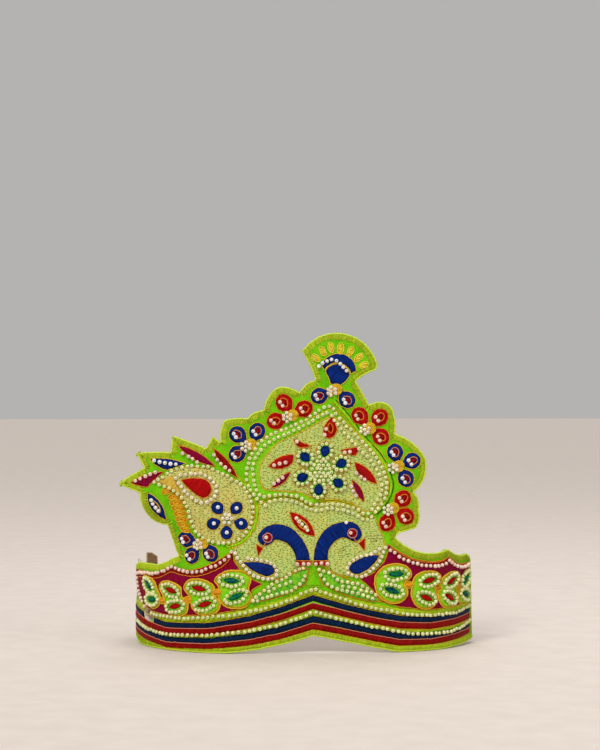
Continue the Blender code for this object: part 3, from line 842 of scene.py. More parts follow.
def edge_fuzz():
    """Loose fibres that stand off the overlocked edge."""
    piece = Piece("edge_fuzz", "lime_cloth")
    path = spaced(PANEL, FUZZ_STEP, closed=True)
    into, run = inward(path)
    for _ in range(FUZZ_COUNT):
        index = chance.randrange(len(path))
        length = chance.uniform(*FUZZ_LENGTHS)
        lean = chance.uniform(-1.0, 1.0)
        start = path[index] + into[index] * chance.uniform(*FUZZ_DEPTHS)
        step = (run[index] * lean - into[index]) * length / 2.0
        curl = np.array([chance.uniform(-FUZZ_CURL, FUZZ_CURL) for _ in range(2)])
        flat = np.array([start, start + step, start + 2.0 * step + curl])
        base = chance.uniform(*FUZZ_BASES)
        out = np.array([base] + [base + chance.uniform(*rise) for rise in FUZZ_RISES])
        strand(piece, flat, out, FUZZ_RADIUS, shaded(LIME_BRIGHT, chance.uniform(*FUZZ_SHADES)))
    piece.make()


# The stripes of the band, by the height of each one's middle.
STRIPE_COLUMNS = ("s_mm", "navy_upper", "red_upper", "navy_lower", "red_lower")
STRIPE_HEIGHTS = (
    (-157, 23.0, 19.0, 13.5, 10.0),
    (-114, 18.0, 14.4, 9.3, 6.2),
    (-86, 13.9, 10.6, 5.6, 2.9),
    (-58, 15.0, 11.9, 6.4, 3.6),
    (-35, 19.1, 15.7, 9.4, 6.0),
    (-18, 23.8, 19.8, 13.0, 9.4),
    (0, 30.4, 26.0, 18.6, 14.8),
    (15, 26.0, 22.2, 15.8, 12.0),
    (31.5, 21.8, 18.1, 12.0, 8.5),
    (48, 18.6, 15.0, 8.8, 5.3),
    (67, 17.0, 13.7, 7.9, 4.8),
    (87, 17.7, 14.6, 8.8, 6.1),
    (115, 20.3, 17.0, 11.6, 8.6),
)
STRIPE_HALF = 1.72
BAND_START = -159.5
BAND_END = 106.6
STRIPE_STEP = 1.0
STRIPE_RUNS = (
    ("navy_upper", "navy_dark", "navy_thread", ((-97.6, BAND_END, "stripe_navy_upper"),
                                                (BAND_START, -109.6, "stripe_navy_upper_end"))),
    ("red_upper", "red_dark", "red_thread", ((BAND_START, BAND_END, "stripe_red_upper"),)),
    ("navy_lower", "navy_dark", "navy_thread", ((BAND_START, BAND_END, "stripe_navy_lower"),)),
    ("red_lower", "red_dark", "red_thread", ((BAND_START, BAND_END, "stripe_red_lower"),)),
)


def stripe_line(stripe, first, last, raised):
    """A line that follows a stripe's middle, a little above or below it."""
    table = np.array(STRIPE_HEIGHTS, float)
    column = STRIPE_COLUMNS.index(stripe)
    bends = [0.0, last] if first < 0 < last else [last]
    s = np.unique(np.append(np.arange(first, last, STRIPE_STEP), bends))
    return np.column_stack([s, np.interp(s, table[:, 0], table[:, column]) + raised])


def strip_outline(low, high):
    return np.vstack([low, high[::-1]])


def stripe_patch(piece, stripe, ends, low, high, look, spacing=FINE_STEP):
    """A strip between two heights from a stripe's middle, cut where the tie hole is."""
    outline = strip_outline(stripe_line(stripe, *ends, low), stripe_line(stripe, *ends, high))
    hole = HOLE_RIM if inside(HOLE_RIM, outline).any() else None
    patch(piece, outline, *look, spacing, hole)


BAND_CORD_COLUMNS = ("stripe", "above_middle_mm", "colour", "radius_mm")
BAND_CORDS = (
    ("red_upper", STRIPE_HALF + 0.05, PINK, 0.24), ("red_upper", -STRIPE_HALF - 0.2, ORANGE, 0.17),
    ("red_lower", STRIPE_HALF + 0.05, PINK, 0.24), ("red_lower", -STRIPE_HALF - 0.2, GOLD, 0.17),
    ("navy_upper", STRIPE_HALF + 0.1, GOLD, 0.15),
)
LIME_STRIP_COLUMNS = ("stripe", "from_mm", "to_mm")
LIME_STRIPS = (("navy_upper", STRIPE_HALF, 6.0), ("navy_lower", STRIPE_HALF, 4.6),
               ("red_lower", -3.6, -STRIPE_HALF))
LIME_SPACING = 1.1


def stripes():
    for stripe, material, slot, runs in STRIPE_RUNS:
        for first, last, node in runs:
            piece = Piece("satin_" + node, slot, (node,))
            stripe_patch(piece, stripe, (first, last), -STRIPE_HALF, STRIPE_HALF,
                         (material, "stripe", 24.0))
            piece.make()
    lines = Piece("band_cords", "lime_cloth")
    for stripe, raised, colour, radius in BAND_CORDS:
        line = stripe_line(stripe, BAND_START, BAND_END, raised)
        cord(lines, line, radius, colour, lift=0.3)
    lines.make()


def lime_strips():
    """Lime satin between the stripes, and between the stripes and the fields above."""
    piece = Piece("lime_strips", "lime_cloth")
    for stripe, low, high in LIME_STRIPS:
        stripe_patch(piece, stripe, (BAND_START, BAND_END), low, high, ("lime", "strip", 90.0),
                     LIME_SPACING)
    piece.make()


# Fields of cloth and stitches that carry smaller motifs, and the motifs.
PATCH_COLUMNS = ("material", "slot", "stitch_angle_deg", "corners")
FIELD_CORD = 0.24
MOTIF_CORD = 0.22
NECK_CORD = 0.14
FINE_CORD = 0.2
FIELDS = {
    "side_panel_left": ("maroon", "maroon_thread", 8.0, (
        (-124, 28, 0), (-109.5, 23.4, 0), (-98, 20.6, 0), (-86, 19.6, 0), (-58, 21.0, 0),
        (-37, 25.2, 0), (-34, 30, 0), (-33.6, 35.4, 0), (-27.8, 38.2, 0), (-33, 40.6, 0),
        (-38.5, 44, 0), (-43.2, 50.5, 0), (-44.4, 55.8, 0), (-47.4, 54.2, -1.2),
        (-68.5, 45.2, -0.3), (-81.3, 47.2, -0.5), (-95, 42.6, -0.2), (-129, 42, 0),
    )),
    "side_panel_right": ("maroon", "maroon_thread", -8.0, (
        (38.5, 28, 0), (48, 25.2, 0), (64.5, 22.8, 0), (88, 23.2, 0), (103.5, 25.6, 0),
        (106, 46.6, -0.4), (91.5, 46.6, -0.3), (81, 51.2, -0.4), (70.8, 49.3, -0.6),
        (55, 51.8, -0.4), (41, 60, 0), (41.5, 56, 0), (39.4, 50.2, 0), (33, 43.6, 0),
        (25.6, 41, 0), (31.4, 36.2, 0),
    )),
    "central_leaf": ("leaf", "tissue_cloth", 90.0, (
        (11, 135.2, -0.6), (-20.9, 121.1, 3.9), (-36.3, 100, 2.4), (-28.6, 83.6, -4.2),
        (-1.3, 80.9, -6.4), (29.3, 74.3, 4), (41.7, 94.8, 2.2), (35.1, 113.1, -1.3),
    )),
    "paisley": ("straw_tissue", "tissue_cloth", 0.0, (
        (-86.4, 94, -2.2), (-69, 80, 5.6), (-52, 60.9, 6), (-33.5, 78.4, 4),
        (-48, 97.8, 1.2), (-66, 102.6, 2.1),
    )),
    "peacock_ground": ("tissue", "tissue_cloth", 0.0, (
        (-42, 50, 0), (-36.2, 44.4, 0), (-30.8, 41.8, 0.6), (-19.5, 40.8, 1.2),
        (-9.6, 46.6, 0), (-0.6, 50, 0), (8, 47, 1.2), (17.4, 42.4, 0.6), (28, 42.6, 0.6),
        (37.2, 50.4, 0), (39.8, 58, 0), (38.8, 64, 0), (36, 70, 0), (34, 75, 0),
        (29.2, 73.2, 6.4), (-1.3, 79.8, 4.2), (-28.2, 82.4, 0), (-32.2, 80, -4.2),
        (-44.5, 60.2, 0),
    )),
    "sweep_leaf_left": ("emerald", "neon_thread", -30.0, (
        (-35.5, 28.4, 2.4), (-4.2, 38.4, 0), (-1.8, 46.8, 2.6))),
    "sweep_leaf_right": ("emerald", "neon_thread", 30.0, (
        (38.3, 28, 2.2), (2.4, 47, 0), (5, 38.4, 2.4))),
    "centre_peak": ("neon", "neon_thread", 0.0, ((-4.4, 36.8, 0), (5.4, 36.8, 0), (0.4, 45.6, 0))),
    "side_petal": ("navy", "navy_thread", 60.0, ((-91, 88.6, 3.4), (-81.2, 73, 3.0))),
    "flame_leaf_1": ("maroon", "maroon_thread", 60.0, (
        (-100.4, 94, 0.6), (-91, 91.4, -0.3), (-81.8, 100, 1.4))),
    "flame_leaf_2": ("navy", "navy_thread", 60.0, (
        (-89.6, 107, 1.2), (-80.2, 100.8, 0), (-69.4, 104.4, 1.4))),
    "flame_leaf_3": ("maroon", "maroon_thread", 20.0, ((-74.4, 114.6, 2.4), (-53.8, 103, 2.0))),
    "flame_leaf_4": ("red_dark", "red_thread", 10.0, ((-55, 113, 2.1), (-41.4, 96.4, 1.9))),
    "fan_crescent": ("navy", "navy_thread", 0.0, (
        (4.6, 158.4, 0), (6.3, 155.6, -5.0), (20.8, 153.6, 0), (24.1, 155.3, 8.0))),
    "fan_eye": ("navy", "navy_thread", 20.0, (
        (9.6, 148.2, 0.2), (15.3, 147.4, 0.6), (20.4, 153, 5.2), (6.6, 155, -0.3))),
}
MOTIFS = {
    "peacock_neck_left": ("navy", "navy_thread", 35.0, (
        (-9.6, 51, 0), (-1.5, 51, 2.3), (-12, 69, 0.6), (-20, 71.2, 2.2), (-30.7, 64, 1.6),
        (-25.5, 59.3, 0.5), (-21, 62.5, -3.3))),
    "peacock_neck_right": ("navy", "navy_thread", -35.0, (
        (0.3, 51, 0), (8.4, 51, -3.1), (16.6, 63.6, -0.3), (22, 61.2, 1.6), (27, 66, 2.2),
        (18.5, 72.3, 1.8), (4.7, 66.1, 1.3))),
    "peacock_beak_left": ("red", "red_thread", 0.0, (
        (-30.3, 53.8, 0), (-27.5, 57.9, 0), (-31.3, 60.4, 0))),
    "peacock_beak_right": ("red", "red_thread", 0.0, (
        (24.9, 60.3, 0), (28.5, 56.3, 0), (28.6, 63.4, 0))),
    "peacock_collar_left": ("red", "red_thread", 90.0, (
        (-9.8, 48.2, 0), (-1.2, 48.2, 0), (-1.3, 50.9, 0), (-9.7, 50.9, 0))),
    "peacock_collar_right": ("red", "red_thread", 90.0, (
        (0.1, 48.2, 0), (8.7, 48.2, 0), (8.6, 50.9, 0), (0.2, 50.9, 0))),
    "peacock_wing_left": ("navy", "navy_thread", 70.0, (
        (-38.9, 50.4, 1), (-26.5, 42.5, 1), (-21, 44.8, 1.2), (-24.2, 49.3, 0.8))),
    "peacock_wing_right": ("navy", "navy_thread", -70.0, (
        (19.4, 46, 1.1), (25.6, 43.4, 1.4), (37, 53.8, 1.2), (25, 51.6, 1.2))),
    "almond": ("red", "red_thread", 45.0, ((-12.8, 77.7, 3.5), (0.9, 64.5, 3.5))),
    "red_drop_top": ("red", "red_thread", 0.0, (
        (10.2, 130, 0.5), (5.6, 123.2, 0.9), (8.3, 118, 1.3), (13.1, 123.2, 0.5))),
    "red_leaf_left": ("red", "red_thread", 80.0, (
        (-24.6, 102.8, 2.4), (-11.2, 105.2, 0.2), (-10.8, 109.3, 2.0))),
    "red_leaf_low_left": ("maroon", "red_thread", 60.0, ((-22.8, 91, 2.1), (-12.4, 100, 1.3))),
    "red_leaf_top_left": ("red", "red_thread", 70.0, (
        (-11, 118, 0.3), (-8.2, 113.4, 0.3), (-0.8, 113.8, 0))),
    "red_leaf_top_right": ("red", "red_thread", 80.0, (
        (15, 111.6, 0.4), (23, 108.6, 0.3), (25.4, 113.1, 0.4))),
    "red_leaf_right": ("red", "red_thread", 50.0, (
        (23, 104.8, 0.8), (25.8, 97.8, 0.6), (35.2, 93, 2.4))),
    "red_leaf_low_right": ("maroon", "red_thread", 70.0, ((21.4, 95.3, 1.3), (28, 83, 2.2))),
    "paisley_drop": ("red", "red_thread", 35.0, (
        (-72.2, 95.4, 1), (-60.6, 85.5, 1.3), (-55.7, 90.3, 1.5), (-61.3, 96.3, 0.6))),
}
CORD_COLOURS = {"navy": GOLD, "red": ORANGE, "red_dark": ORANGE, "maroon": ORANGE, "tissue": GOLD,
                "emerald": ORANGE, "neon": LIME, "leaf": GOLD, "straw_tissue": GOLD}


def outlined_patches(table, padding, radius):
    for node, (material, slot, angle, corners) in table.items():
        piece = Piece("stitched_" + node, slot, (node,))
        loop = drawn(corners)
        patch(piece, loop, material, padding, angle)
        thin = node.startswith("peacock_neck")
        cord(piece, loop, NECK_CORD if thin else radius, CORD_COLOURS[material], closed=True)
        piece.make()


LEAF_FIELD = (
    (10.5, 130.8, 0), (-10.8, 119.6, 2.6), (-28.5, 104.5, 1.2), (-28.4, 92.6, 0.6),
    (-25, 89.8, 0), (-7.7, 88.6, 0), (0, 85.6, 0), (8.3, 84.4, 0), (14, 84.4, 0.3),
    (21.3, 82.6, 0.2), (28.5, 78.2, 0.6), (35.4, 79.2, 1.2), (40.6, 87.4, 0.8), (41, 95.4, 0.8),
    (36.2, 107.4, 0.4), (25.4, 119.6, 0),
)
LEAF_PIPING = (
    (11.6, 138.5), (15.5, 134), (20, 128.8), (24.5, 122.6), (29.5, 116.5), (35.1, 110.3),
    (39.1, 104.7), (41.8, 98.5), (43.2, 92.9), (42.1, 87.2), (38.8, 81.5), (34.6, 77.1),
)
PAISLEY_PIPING = (
    (-42, 96.6), (-36.8, 92), (-31.8, 84.6), (-30.8, 76.6), (-33.2, 68.2), (-39.4, 61.4),
    (-47.6, 58.4),
)
PIPINGS = ((LEAF_PIPING, 1.1, SHADOW_GREEN), (PAISLEY_PIPING, 0.85, GOLD))
STRAW_ZONE = (
    (-85.6, 94.4, 0), (-80, 91.6, 0.3), (-74.2, 87.4, 0.3), (-70.6, 82.8, 0),
    (-73.4, 91.2, -0.6), (-75.4, 97.4, 0.3), (-80.4, 97.0, 0.3),
)
SIDE_TRIM_COLUMNS = ("points", "wide_mm")
SIDE_TRIMS = (
    ((
        (-126, 37.6), (-118, 38.2), (-110.4, 38.8), (-102, 39.2), (-94.4, 39.4), (-87.6, 41.2),
        (-81, 43.8), (-74.6, 42.6), (-66.4, 42.1), (-60.2, 43.2), (-55.6, 45.0), (-51, 47.2),
        (-47.4, 50.0), (-45.2, 52.6)), 2.1),
    ((
        (42.4, 58.2), (46, 56), (50.4, 53.2), (55.6, 51.0), (62.4, 49.4), (69.8, 48.9),
        (76, 49.5), (80.6, 51.0), (86, 48.6), (91.6, 46.6), (98, 46.4), (103.6, 46.6)), -2.1),
)
PIPING_GAP = 0.2
END_CORD = 0.26
END_LINES = (((104.4, 25.8), (107, 46.6)), ((106.4, 25.6), (108, 46.4)))


def field_trims():
    """The tissue field and piping of the big leaf, and what edges the paisley and side panels."""
    piece = Piece("leaf_field", "tissue_cloth")
    loop = drawn(LEAF_FIELD)
    patch(piece, loop, "tissue", "weave")
    cord(piece, loop, FIELD_CORD, GOLD, closed=True)
    piece.make()
    piece = Piece("leaf_piping", "neon_thread")
    for points, half, edge in PIPINGS:
        path = spaced(smooth_curve(points), FINE_STEP)
        patch(piece, strip_outline(beside(path, half), beside(path, -half)), "piping", "piping")
        cord(piece, beside(path, half + PIPING_GAP), FINE_CORD, edge)
        cord(piece, beside(path, -half - PIPING_GAP), FINE_CORD, GOLD)
    piece.make()
    piece = Piece("paisley_gold")
    patch(piece, drawn(STRAW_ZONE), "straw", "thin", 40.0)
    piece.make()
    piece = Piece("side_trims", "maroon_thread")
    for points, wide in SIDE_TRIMS:
        path = spaced(smooth_curve(points), FINE_STEP)
        low, high = (path, beside(path, wide)) if wide > 0 else (beside(path, wide), path)
        patch(piece, strip_outline(low, high), "red_dark", "weave", 80.0)
        cord(piece, path, FIELD_CORD, ORANGE)
    for line in END_LINES:
        cord(piece, line, END_CORD, ORANGE)
    piece.make()


# Smaller shapes on the motifs.
INNER_COLUMNS = ("centre", "half", "angle_deg", "satin", "outline")
INNER_SHAPES = (
    ((9.4, 123.7), (2.7, 1.5), 98.0, "red_dark", ORANGE),
    ((-6.0, 71.1), (4.3, 1.6), -44.0, "black", GOLD),
    ((-86.2, 80.8), (4.0, 1.3), -60.0, "red_dark", GOLD),
)
INNER_FILL = (0.8, 0.7)
INNER_POINT = 0.4
THICK_CORD = 0.25
LOOSE_STITCHES = (
    ((29.0, 64.2), (36.6, 64.6)), ((30.2, 62.9), (37.2, 63.1)), ((31.5, 61.4), (35.5, 61.8)),
    ((13.4, 55.4), (18.2, 57.0)), ((14.6, 57.4), (20.2, 59.2)), ((16, 53.4), (20, 54.6)),
    ((-61, 83), (-52.6, 88.6)), ((-48.6, 91.2), (-43.4, 94.8)),
)
LOOSE_ENDS = (
    ((-122.4, 46), (-120.6, 47.4), (-117.8, 47.9)), ((-118, 46.6), (-115.8, 47.9), (-113, 47.6)),
    ((-121.4, 45.6), (-121.8, 47.2), (-120.6, 48.2)),
)
LOOSE_RADIUS = 0.12


def loose_stitches():
    piece = Piece("loose_stitches")
    for line in LOOSE_STITCHES:
        cord(piece, line, LOOSE_RADIUS, STITCH_BROWN, lift=0.2, wander=0.1)
    for points in LOOSE_ENDS:
        cord(piece, smooth_curve(points), FINE_CORD, PEARL)
    piece.make()


def inner_shapes():
    piece = Piece("inner_shapes")
    for centre, (long, wide), angle, material, outline in INNER_SHAPES:
        bed = oval(centre, long * INNER_FILL[0], wide * INNER_FILL[1], angle, INNER_POINT)
        patch(piece, bed, material, "inner")
        cord(piece, oval(centre, long, wide, angle, INNER_POINT), THICK_CORD, outline, closed=True)
    piece.make()


# Flowers of three petals on a gold boss, each petal with an inner ring and two pearls.
FLOWER_COLUMNS = ("node", "colour", "heart", "petals")
FLOWERS = (
    ("flower_top", "navy", (13, 145.1), ((3.3, 141.4), (18.8, 139.3))),
    ("flower_red_left", "red", (-11.3, 130.9), ((-16, 137.8), (-4.9, 134.4), (-20.7, 127.7))),
    ("flower_navy_left", "navy", (-34, 114.9), ((-41.6, 120.4), (-30.7, 122.1), (-41.8, 109.6))),
    ("flower_red_right", "red", (31.5, 123.7), ((25.7, 130.6), (36.9, 129.7), (37.5, 118.9))),
    ("flower_navy_right", "navy", (47.2, 102.7), ((45.3, 110.5), (55, 105.7), (51.4, 95.8))),
    ("flower_red_low", "red", (44.3, 79.6), ((49.8, 84.9), (51.4, 75.0), (41.0, 71.5))),
    ("flower_navy_low", "navy", (-60.6, 60.6), ((-70.6, 62.5), (-67.6, 53.4), (-56.4, 54.8))),
)
PETAL_HALF = (5.5, 4.7)
PETAL_IN = 0.6
PETAL_RING = (2.7, 2.1)
PETAL_CORE = (1.8, 1.3)
PETAL_PEARLS = ((175.0, 2.2), (242.0, 2.0))
BOSS_RADIUS = 3.2
BOSS_COILS = (2.9, 2.1, 1.3, 0.5)
CLUSTER_OFFSET = (-3.0, -1.0)
CLUSTER_RADIUS = 2.25
PETAL_POINT = 0.45
COIL_CORD = 0.34
SLOTS = {"navy": "navy_thread", "red": "red_thread"}


def petal(piece, beads, heart, centre, colour):
    angle = bearing(heart, centre)
    loop = oval(polar(centre, angle, -PETAL_IN), *PETAL_HALF, angle, PETAL_POINT)
    patch(piece, loop, colour, "petal", angle + 90.0)
    cord(piece, loop, FINE_CORD, GOLD if colour == "navy" else ORANGE, closed=True)
    patch(piece, oval(centre, *PETAL_CORE, angle, INNER_POINT), "red_dark", "inner", angle)
    ring = oval(centre, *PETAL_RING, angle, INNER_POINT)
    cord(piece, ring, THICK_CORD, ORANGE, closed=True)
    marks = [polar(centre, *mark) for mark in PETAL_PEARLS]
    pearls(beads, marks, PEARL_PINK_REFLECTION if colour == "red" else PEARL_NAVY_REFLECTION)


def flowers():
    beads = Piece("flower_pearls")
    for node, colour, heart, petals in FLOWERS:
        piece = Piece("stitched_" + node, SLOTS[colour], (node,))
        for centre in petals:
            petal(piece, beads, heart, centre, colour)
        patch(piece, oval(heart, BOSS_RADIUS, BOSS_RADIUS, 0.0), "gold", "boss")
        for radius in BOSS_COILS:
            cord(piece, oval(heart, radius, radius, 0.0), COIL_CORD, GOLD, closed=True)
        piece.make()
        cluster = (heart[0] + CLUSTER_OFFSET[0], heart[1] + CLUSTER_OFFSET[1])
        ring = [polar(cluster, turn, CLUSTER_RADIUS) for turn in range(30, 360, 60)]
        pearls(beads, ring + [cluster])
    beads.make()


# The five-petalled flower on the paisley, and the rosette on the central leaf.
PAISLEY_HEART = (-47.2, 74.2)
PAISLEY_PETALS = ((-52.3, 80), (-42.3, 79.9), (-39.7, 71.5), (-47.4, 66.7), (-54.5, 71.5))
PAISLEY_PETAL = (4.1, 3.6)
PAISLEY_EYE = 2.6
PAISLEY_RING = 2.35
ROSETTE_HEART = (4.2, 100.1)
ROSETTE_PETALS = ((6.5, 111), (15.3, 104.3), (13.6, 93.7), (3, 90.1), (-5.8, 96.8), (-4.4, 107.8))


ROSETTE_RADIUS = 7.2
ROSETTE_LOBE = (5.3, 4.9)
ROSETTE_POINT = 0.25
ROSETTE_EYE = (3.2, 2.6)
ROSETTE_RING = (4.3, 3.75)
ROSETTE_PITCH = 2.45
ROSETTE_REACH = 7.0
ROSETTE_SPACING = 2.4
ROSETTE_FILLED = 6.6


def paisley_flower():
    piece = Piece("stitched_paisley_flower", "navy_thread", ("paisley_flower",))
    beads = Piece("paisley_flower_pearls")
    for centre in PAISLEY_PETALS:
        angle = bearing(PAISLEY_HEART, centre)
        loop = oval(centre, *PAISLEY_PETAL, angle, INNER_POINT)
        patch(piece, loop, "navy", "round_petal", angle)
        cord(piece, loop, FINE_CORD, GOLD, closed=True)
        pearls(beads, [(centre[0] + 0.2, centre[1] + 0.2)], PEARL_NAVY_REFLECTION)
    patch(piece, oval(PAISLEY_HEART, PAISLEY_EYE, PAISLEY_EYE, 0.0), "tissue", "heart")
    piece.make()
    ring = [polar(PAISLEY_HEART, turn, PAISLEY_RING) for turn in range(0, 360, 60)]
    pearls(beads, ring + [PAISLEY_HEART])
    beads.make()


def rosette():
    piece = Piece("stitched_rosette", "neon_thread", ("rosette",))
    beads = Piece("rosette_pearls")
    patch(piece, oval(ROSETTE_HEART, ROSETTE_RADIUS, ROSETTE_RADIUS, 0.0), "leaf", "rosette")
    for centre in ROSETTE_PETALS:
        angle = bearing(ROSETTE_HEART, centre)
        loop = oval(centre, *ROSETTE_LOBE, angle, ROSETTE_POINT)
        patch(piece, loop, "emerald", "lobe", angle)
        cord(piece, loop, MOTIF_CORD, ORANGE, closed=True)
        patch(piece, oval(centre, *ROSETTE_EYE, angle, 0.5), "navy", "eye", angle)
        ring = spaced(oval(centre, *ROSETTE_RING, angle), ROSETTE_PITCH, closed=True)
        pearls(beads, ring, PEARL_GREEN_REFLECTION)
    piece.make()
    heart = np.array(ROSETTE_HEART)
    hexes = hex_marks(heart - ROSETTE_REACH, heart + ROSETTE_REACH, ROSETTE_SPACING)
    near = np.hypot(*(hexes - heart).T) < ROSETTE_FILLED
    pearls(beads, hexes[near], PEARL_GREEN_REFLECTION, jitter=0.2)
    beads.make()


# Leaf pairs: one outline round two green leaves, each with a core in a ring of pearls.
LEAF_OUTLINES = {
    "leaf_pair_left_1": (
        (-53.8, 40.8), (-51.6, 36.6), (-51.4, 30), (-46.6, 25.6), (-38, 25.6), (-33.6, 30.4),
        (-35.6, 35.8), (-34.2, 41.6), (-38.8, 45.4), (-47.6, 45.4)),
    "leaf_pair_left_2": (
        (-72.2, 35.4), (-68.4, 30.6), (-66.8, 24.4), (-60.8, 20.8), (-53, 22.8), (-50.9, 28.2),
        (-54.8, 32.4), (-54.4, 37), (-60.6, 40.4), (-68.8, 40)),
    "leaf_pair_left_3": (
        (-90.8, 34.4), (-86.6, 29), (-85.2, 23), (-78.4, 19.2), (-71, 21.6), (-69.8, 27),
        (-73.8, 31), (-74.6, 35.6), (-81, 38.2), (-88, 38)),
    "leaf_pair_left_4": (
        (-108.6, 37.4), (-105, 31.6), (-103.6, 25.2), (-97, 22.2), (-91, 24.6), (-89.8, 29),
        (-92.4, 33), (-95.6, 37.6), (-101.6, 39.6), (-106.4, 39.8)),
    "leaf_pair_right_1": (
        (35.4, 44), (40.2, 48), (47, 48.9), (52.8, 46.4), (54.4, 42), (50.4, 38), (52.4, 33),
        (49, 28.2), (42.4, 27.4), (36.4, 31), (34.4, 35.6), (34, 40)),
    "leaf_pair_right_2": (
        (54.8, 36.4), (56.6, 41.4), (61.6, 44), (69.4, 43.8), (74, 40.4), (69.6, 35.2),
        (71.6, 29.6), (68.6, 24.6), (62.6, 23.4), (57, 26), (54.6, 31)),
    "leaf_pair_right_3": (
        (72.2, 33), (75, 39.4), (81, 42.4), (88.2, 42.4), (91.2, 38.8), (87.2, 33.6),
        (88.8, 28), (84, 23.4), (77.2, 23.2), (72.8, 27)),
    "leaf_pair_right_4": (
        (89.7, 30.6), (92, 37), (96.8, 41.6), (102.2, 42.6), (103.8, 38), (102.6, 32.4),
        (103.4, 27.4), (99.2, 23.8), (93.2, 23.8), (89.8, 26.4)),
}
LEAF_COLUMNS = ("node", "core", "upper_core", "upper_tilt_deg", "lower_core", "lower_tilt_deg")
LEAF_PAIRS = (
    ("leaf_pair_left_1", "teal", (-44.9, 40.3), -4, (-42.2, 31.6), 24),
    ("leaf_pair_left_2", "red", (-62.8, 35.6), -10, (-59.4, 27.0), 18),
    ("leaf_pair_left_3", "red", (-81.0, 33.6), -14, (-78, 25.0), 12),
    ("leaf_pair_left_4", "teal", (-100.4, 34.8), -30, (-97.2, 27.2), 4),
    ("leaf_pair_right_1", "teal", (45.6, 43.3), 2, (43.4, 34.4), -20),
    ("leaf_pair_right_2", "red", (65.2, 39.2), 12, (63.4, 29.6), -22),
    ("leaf_pair_right_3", "red", (82, 37.8), 22, (80.4, 28.8), -26),
    ("leaf_pair_right_4", "teal", (97.2, 37.6), 36, (96.6, 29.2), -16),
)
CORE_HALF = (4.5, 1.6)
CORE_RING = (6.3, 3.15)
RING_PITCH = 2.35
BED_INSET = (0.6, 0.4)
LEAF_CORD = 0.38
INNER_CORD_IN = 0.7
# Knots of gold thread that join each pair to the next.
KNOT_HALF = (2.6, 1.9)
KNOTS = ((-52.8, 33.6), (-69.8, 29), (-88.4, 27.4), (52.9, 37.2), (71.2, 34.6), (88.7, 33.2))


def leaf_pairs():
    for node, core, upper, upper_tilt, lower, lower_tilt in LEAF_PAIRS:
        piece = Piece("stitched_" + node, "neon_thread", (node,))
        beads = Piece(node + "_pearls")
        field = spaced(smooth_curve(LEAF_OUTLINES[node], closed=True), FINE_STEP, closed=True)
        patch(piece, field, "leaf", "field", 60.0)
        cord(piece, field, LEAF_CORD, GOLD, closed=True)
        cord(piece, edge_line(field, INNER_CORD_IN), FINE_CORD, ORANGE, closed=True, lift=0.3)
        for centre, tilt in ((upper, upper_tilt), (lower, lower_tilt)):
            bed = oval(centre, CORE_RING[0] - BED_INSET[0], CORE_RING[1] - BED_INSET[1], tilt)
            patch(piece, bed, "emerald", "thin", tilt)
            tips = [(*polar(centre, tilt, reach), CORE_HALF[1])
                    for reach in (-CORE_HALF[0], CORE_HALF[0])]
            patch(piece, drawn(tips), core, "core", tilt + 90.0)
            ring = spaced(oval(centre, *CORE_RING, tilt), RING_PITCH, closed=True)
            pearls(beads, ring, PEARL_GREEN_REFLECTION)
        piece.make()
        beads.make()
    knots = Piece("gold_knots")
    for centre in KNOTS:
        loop = oval(centre, *KNOT_HALF, 0.0)
        patch(knots, loop, "amber", "knot", 90.0)
        cord(knots, loop, END_CORD, GOLD, closed=True)
    knots.make()


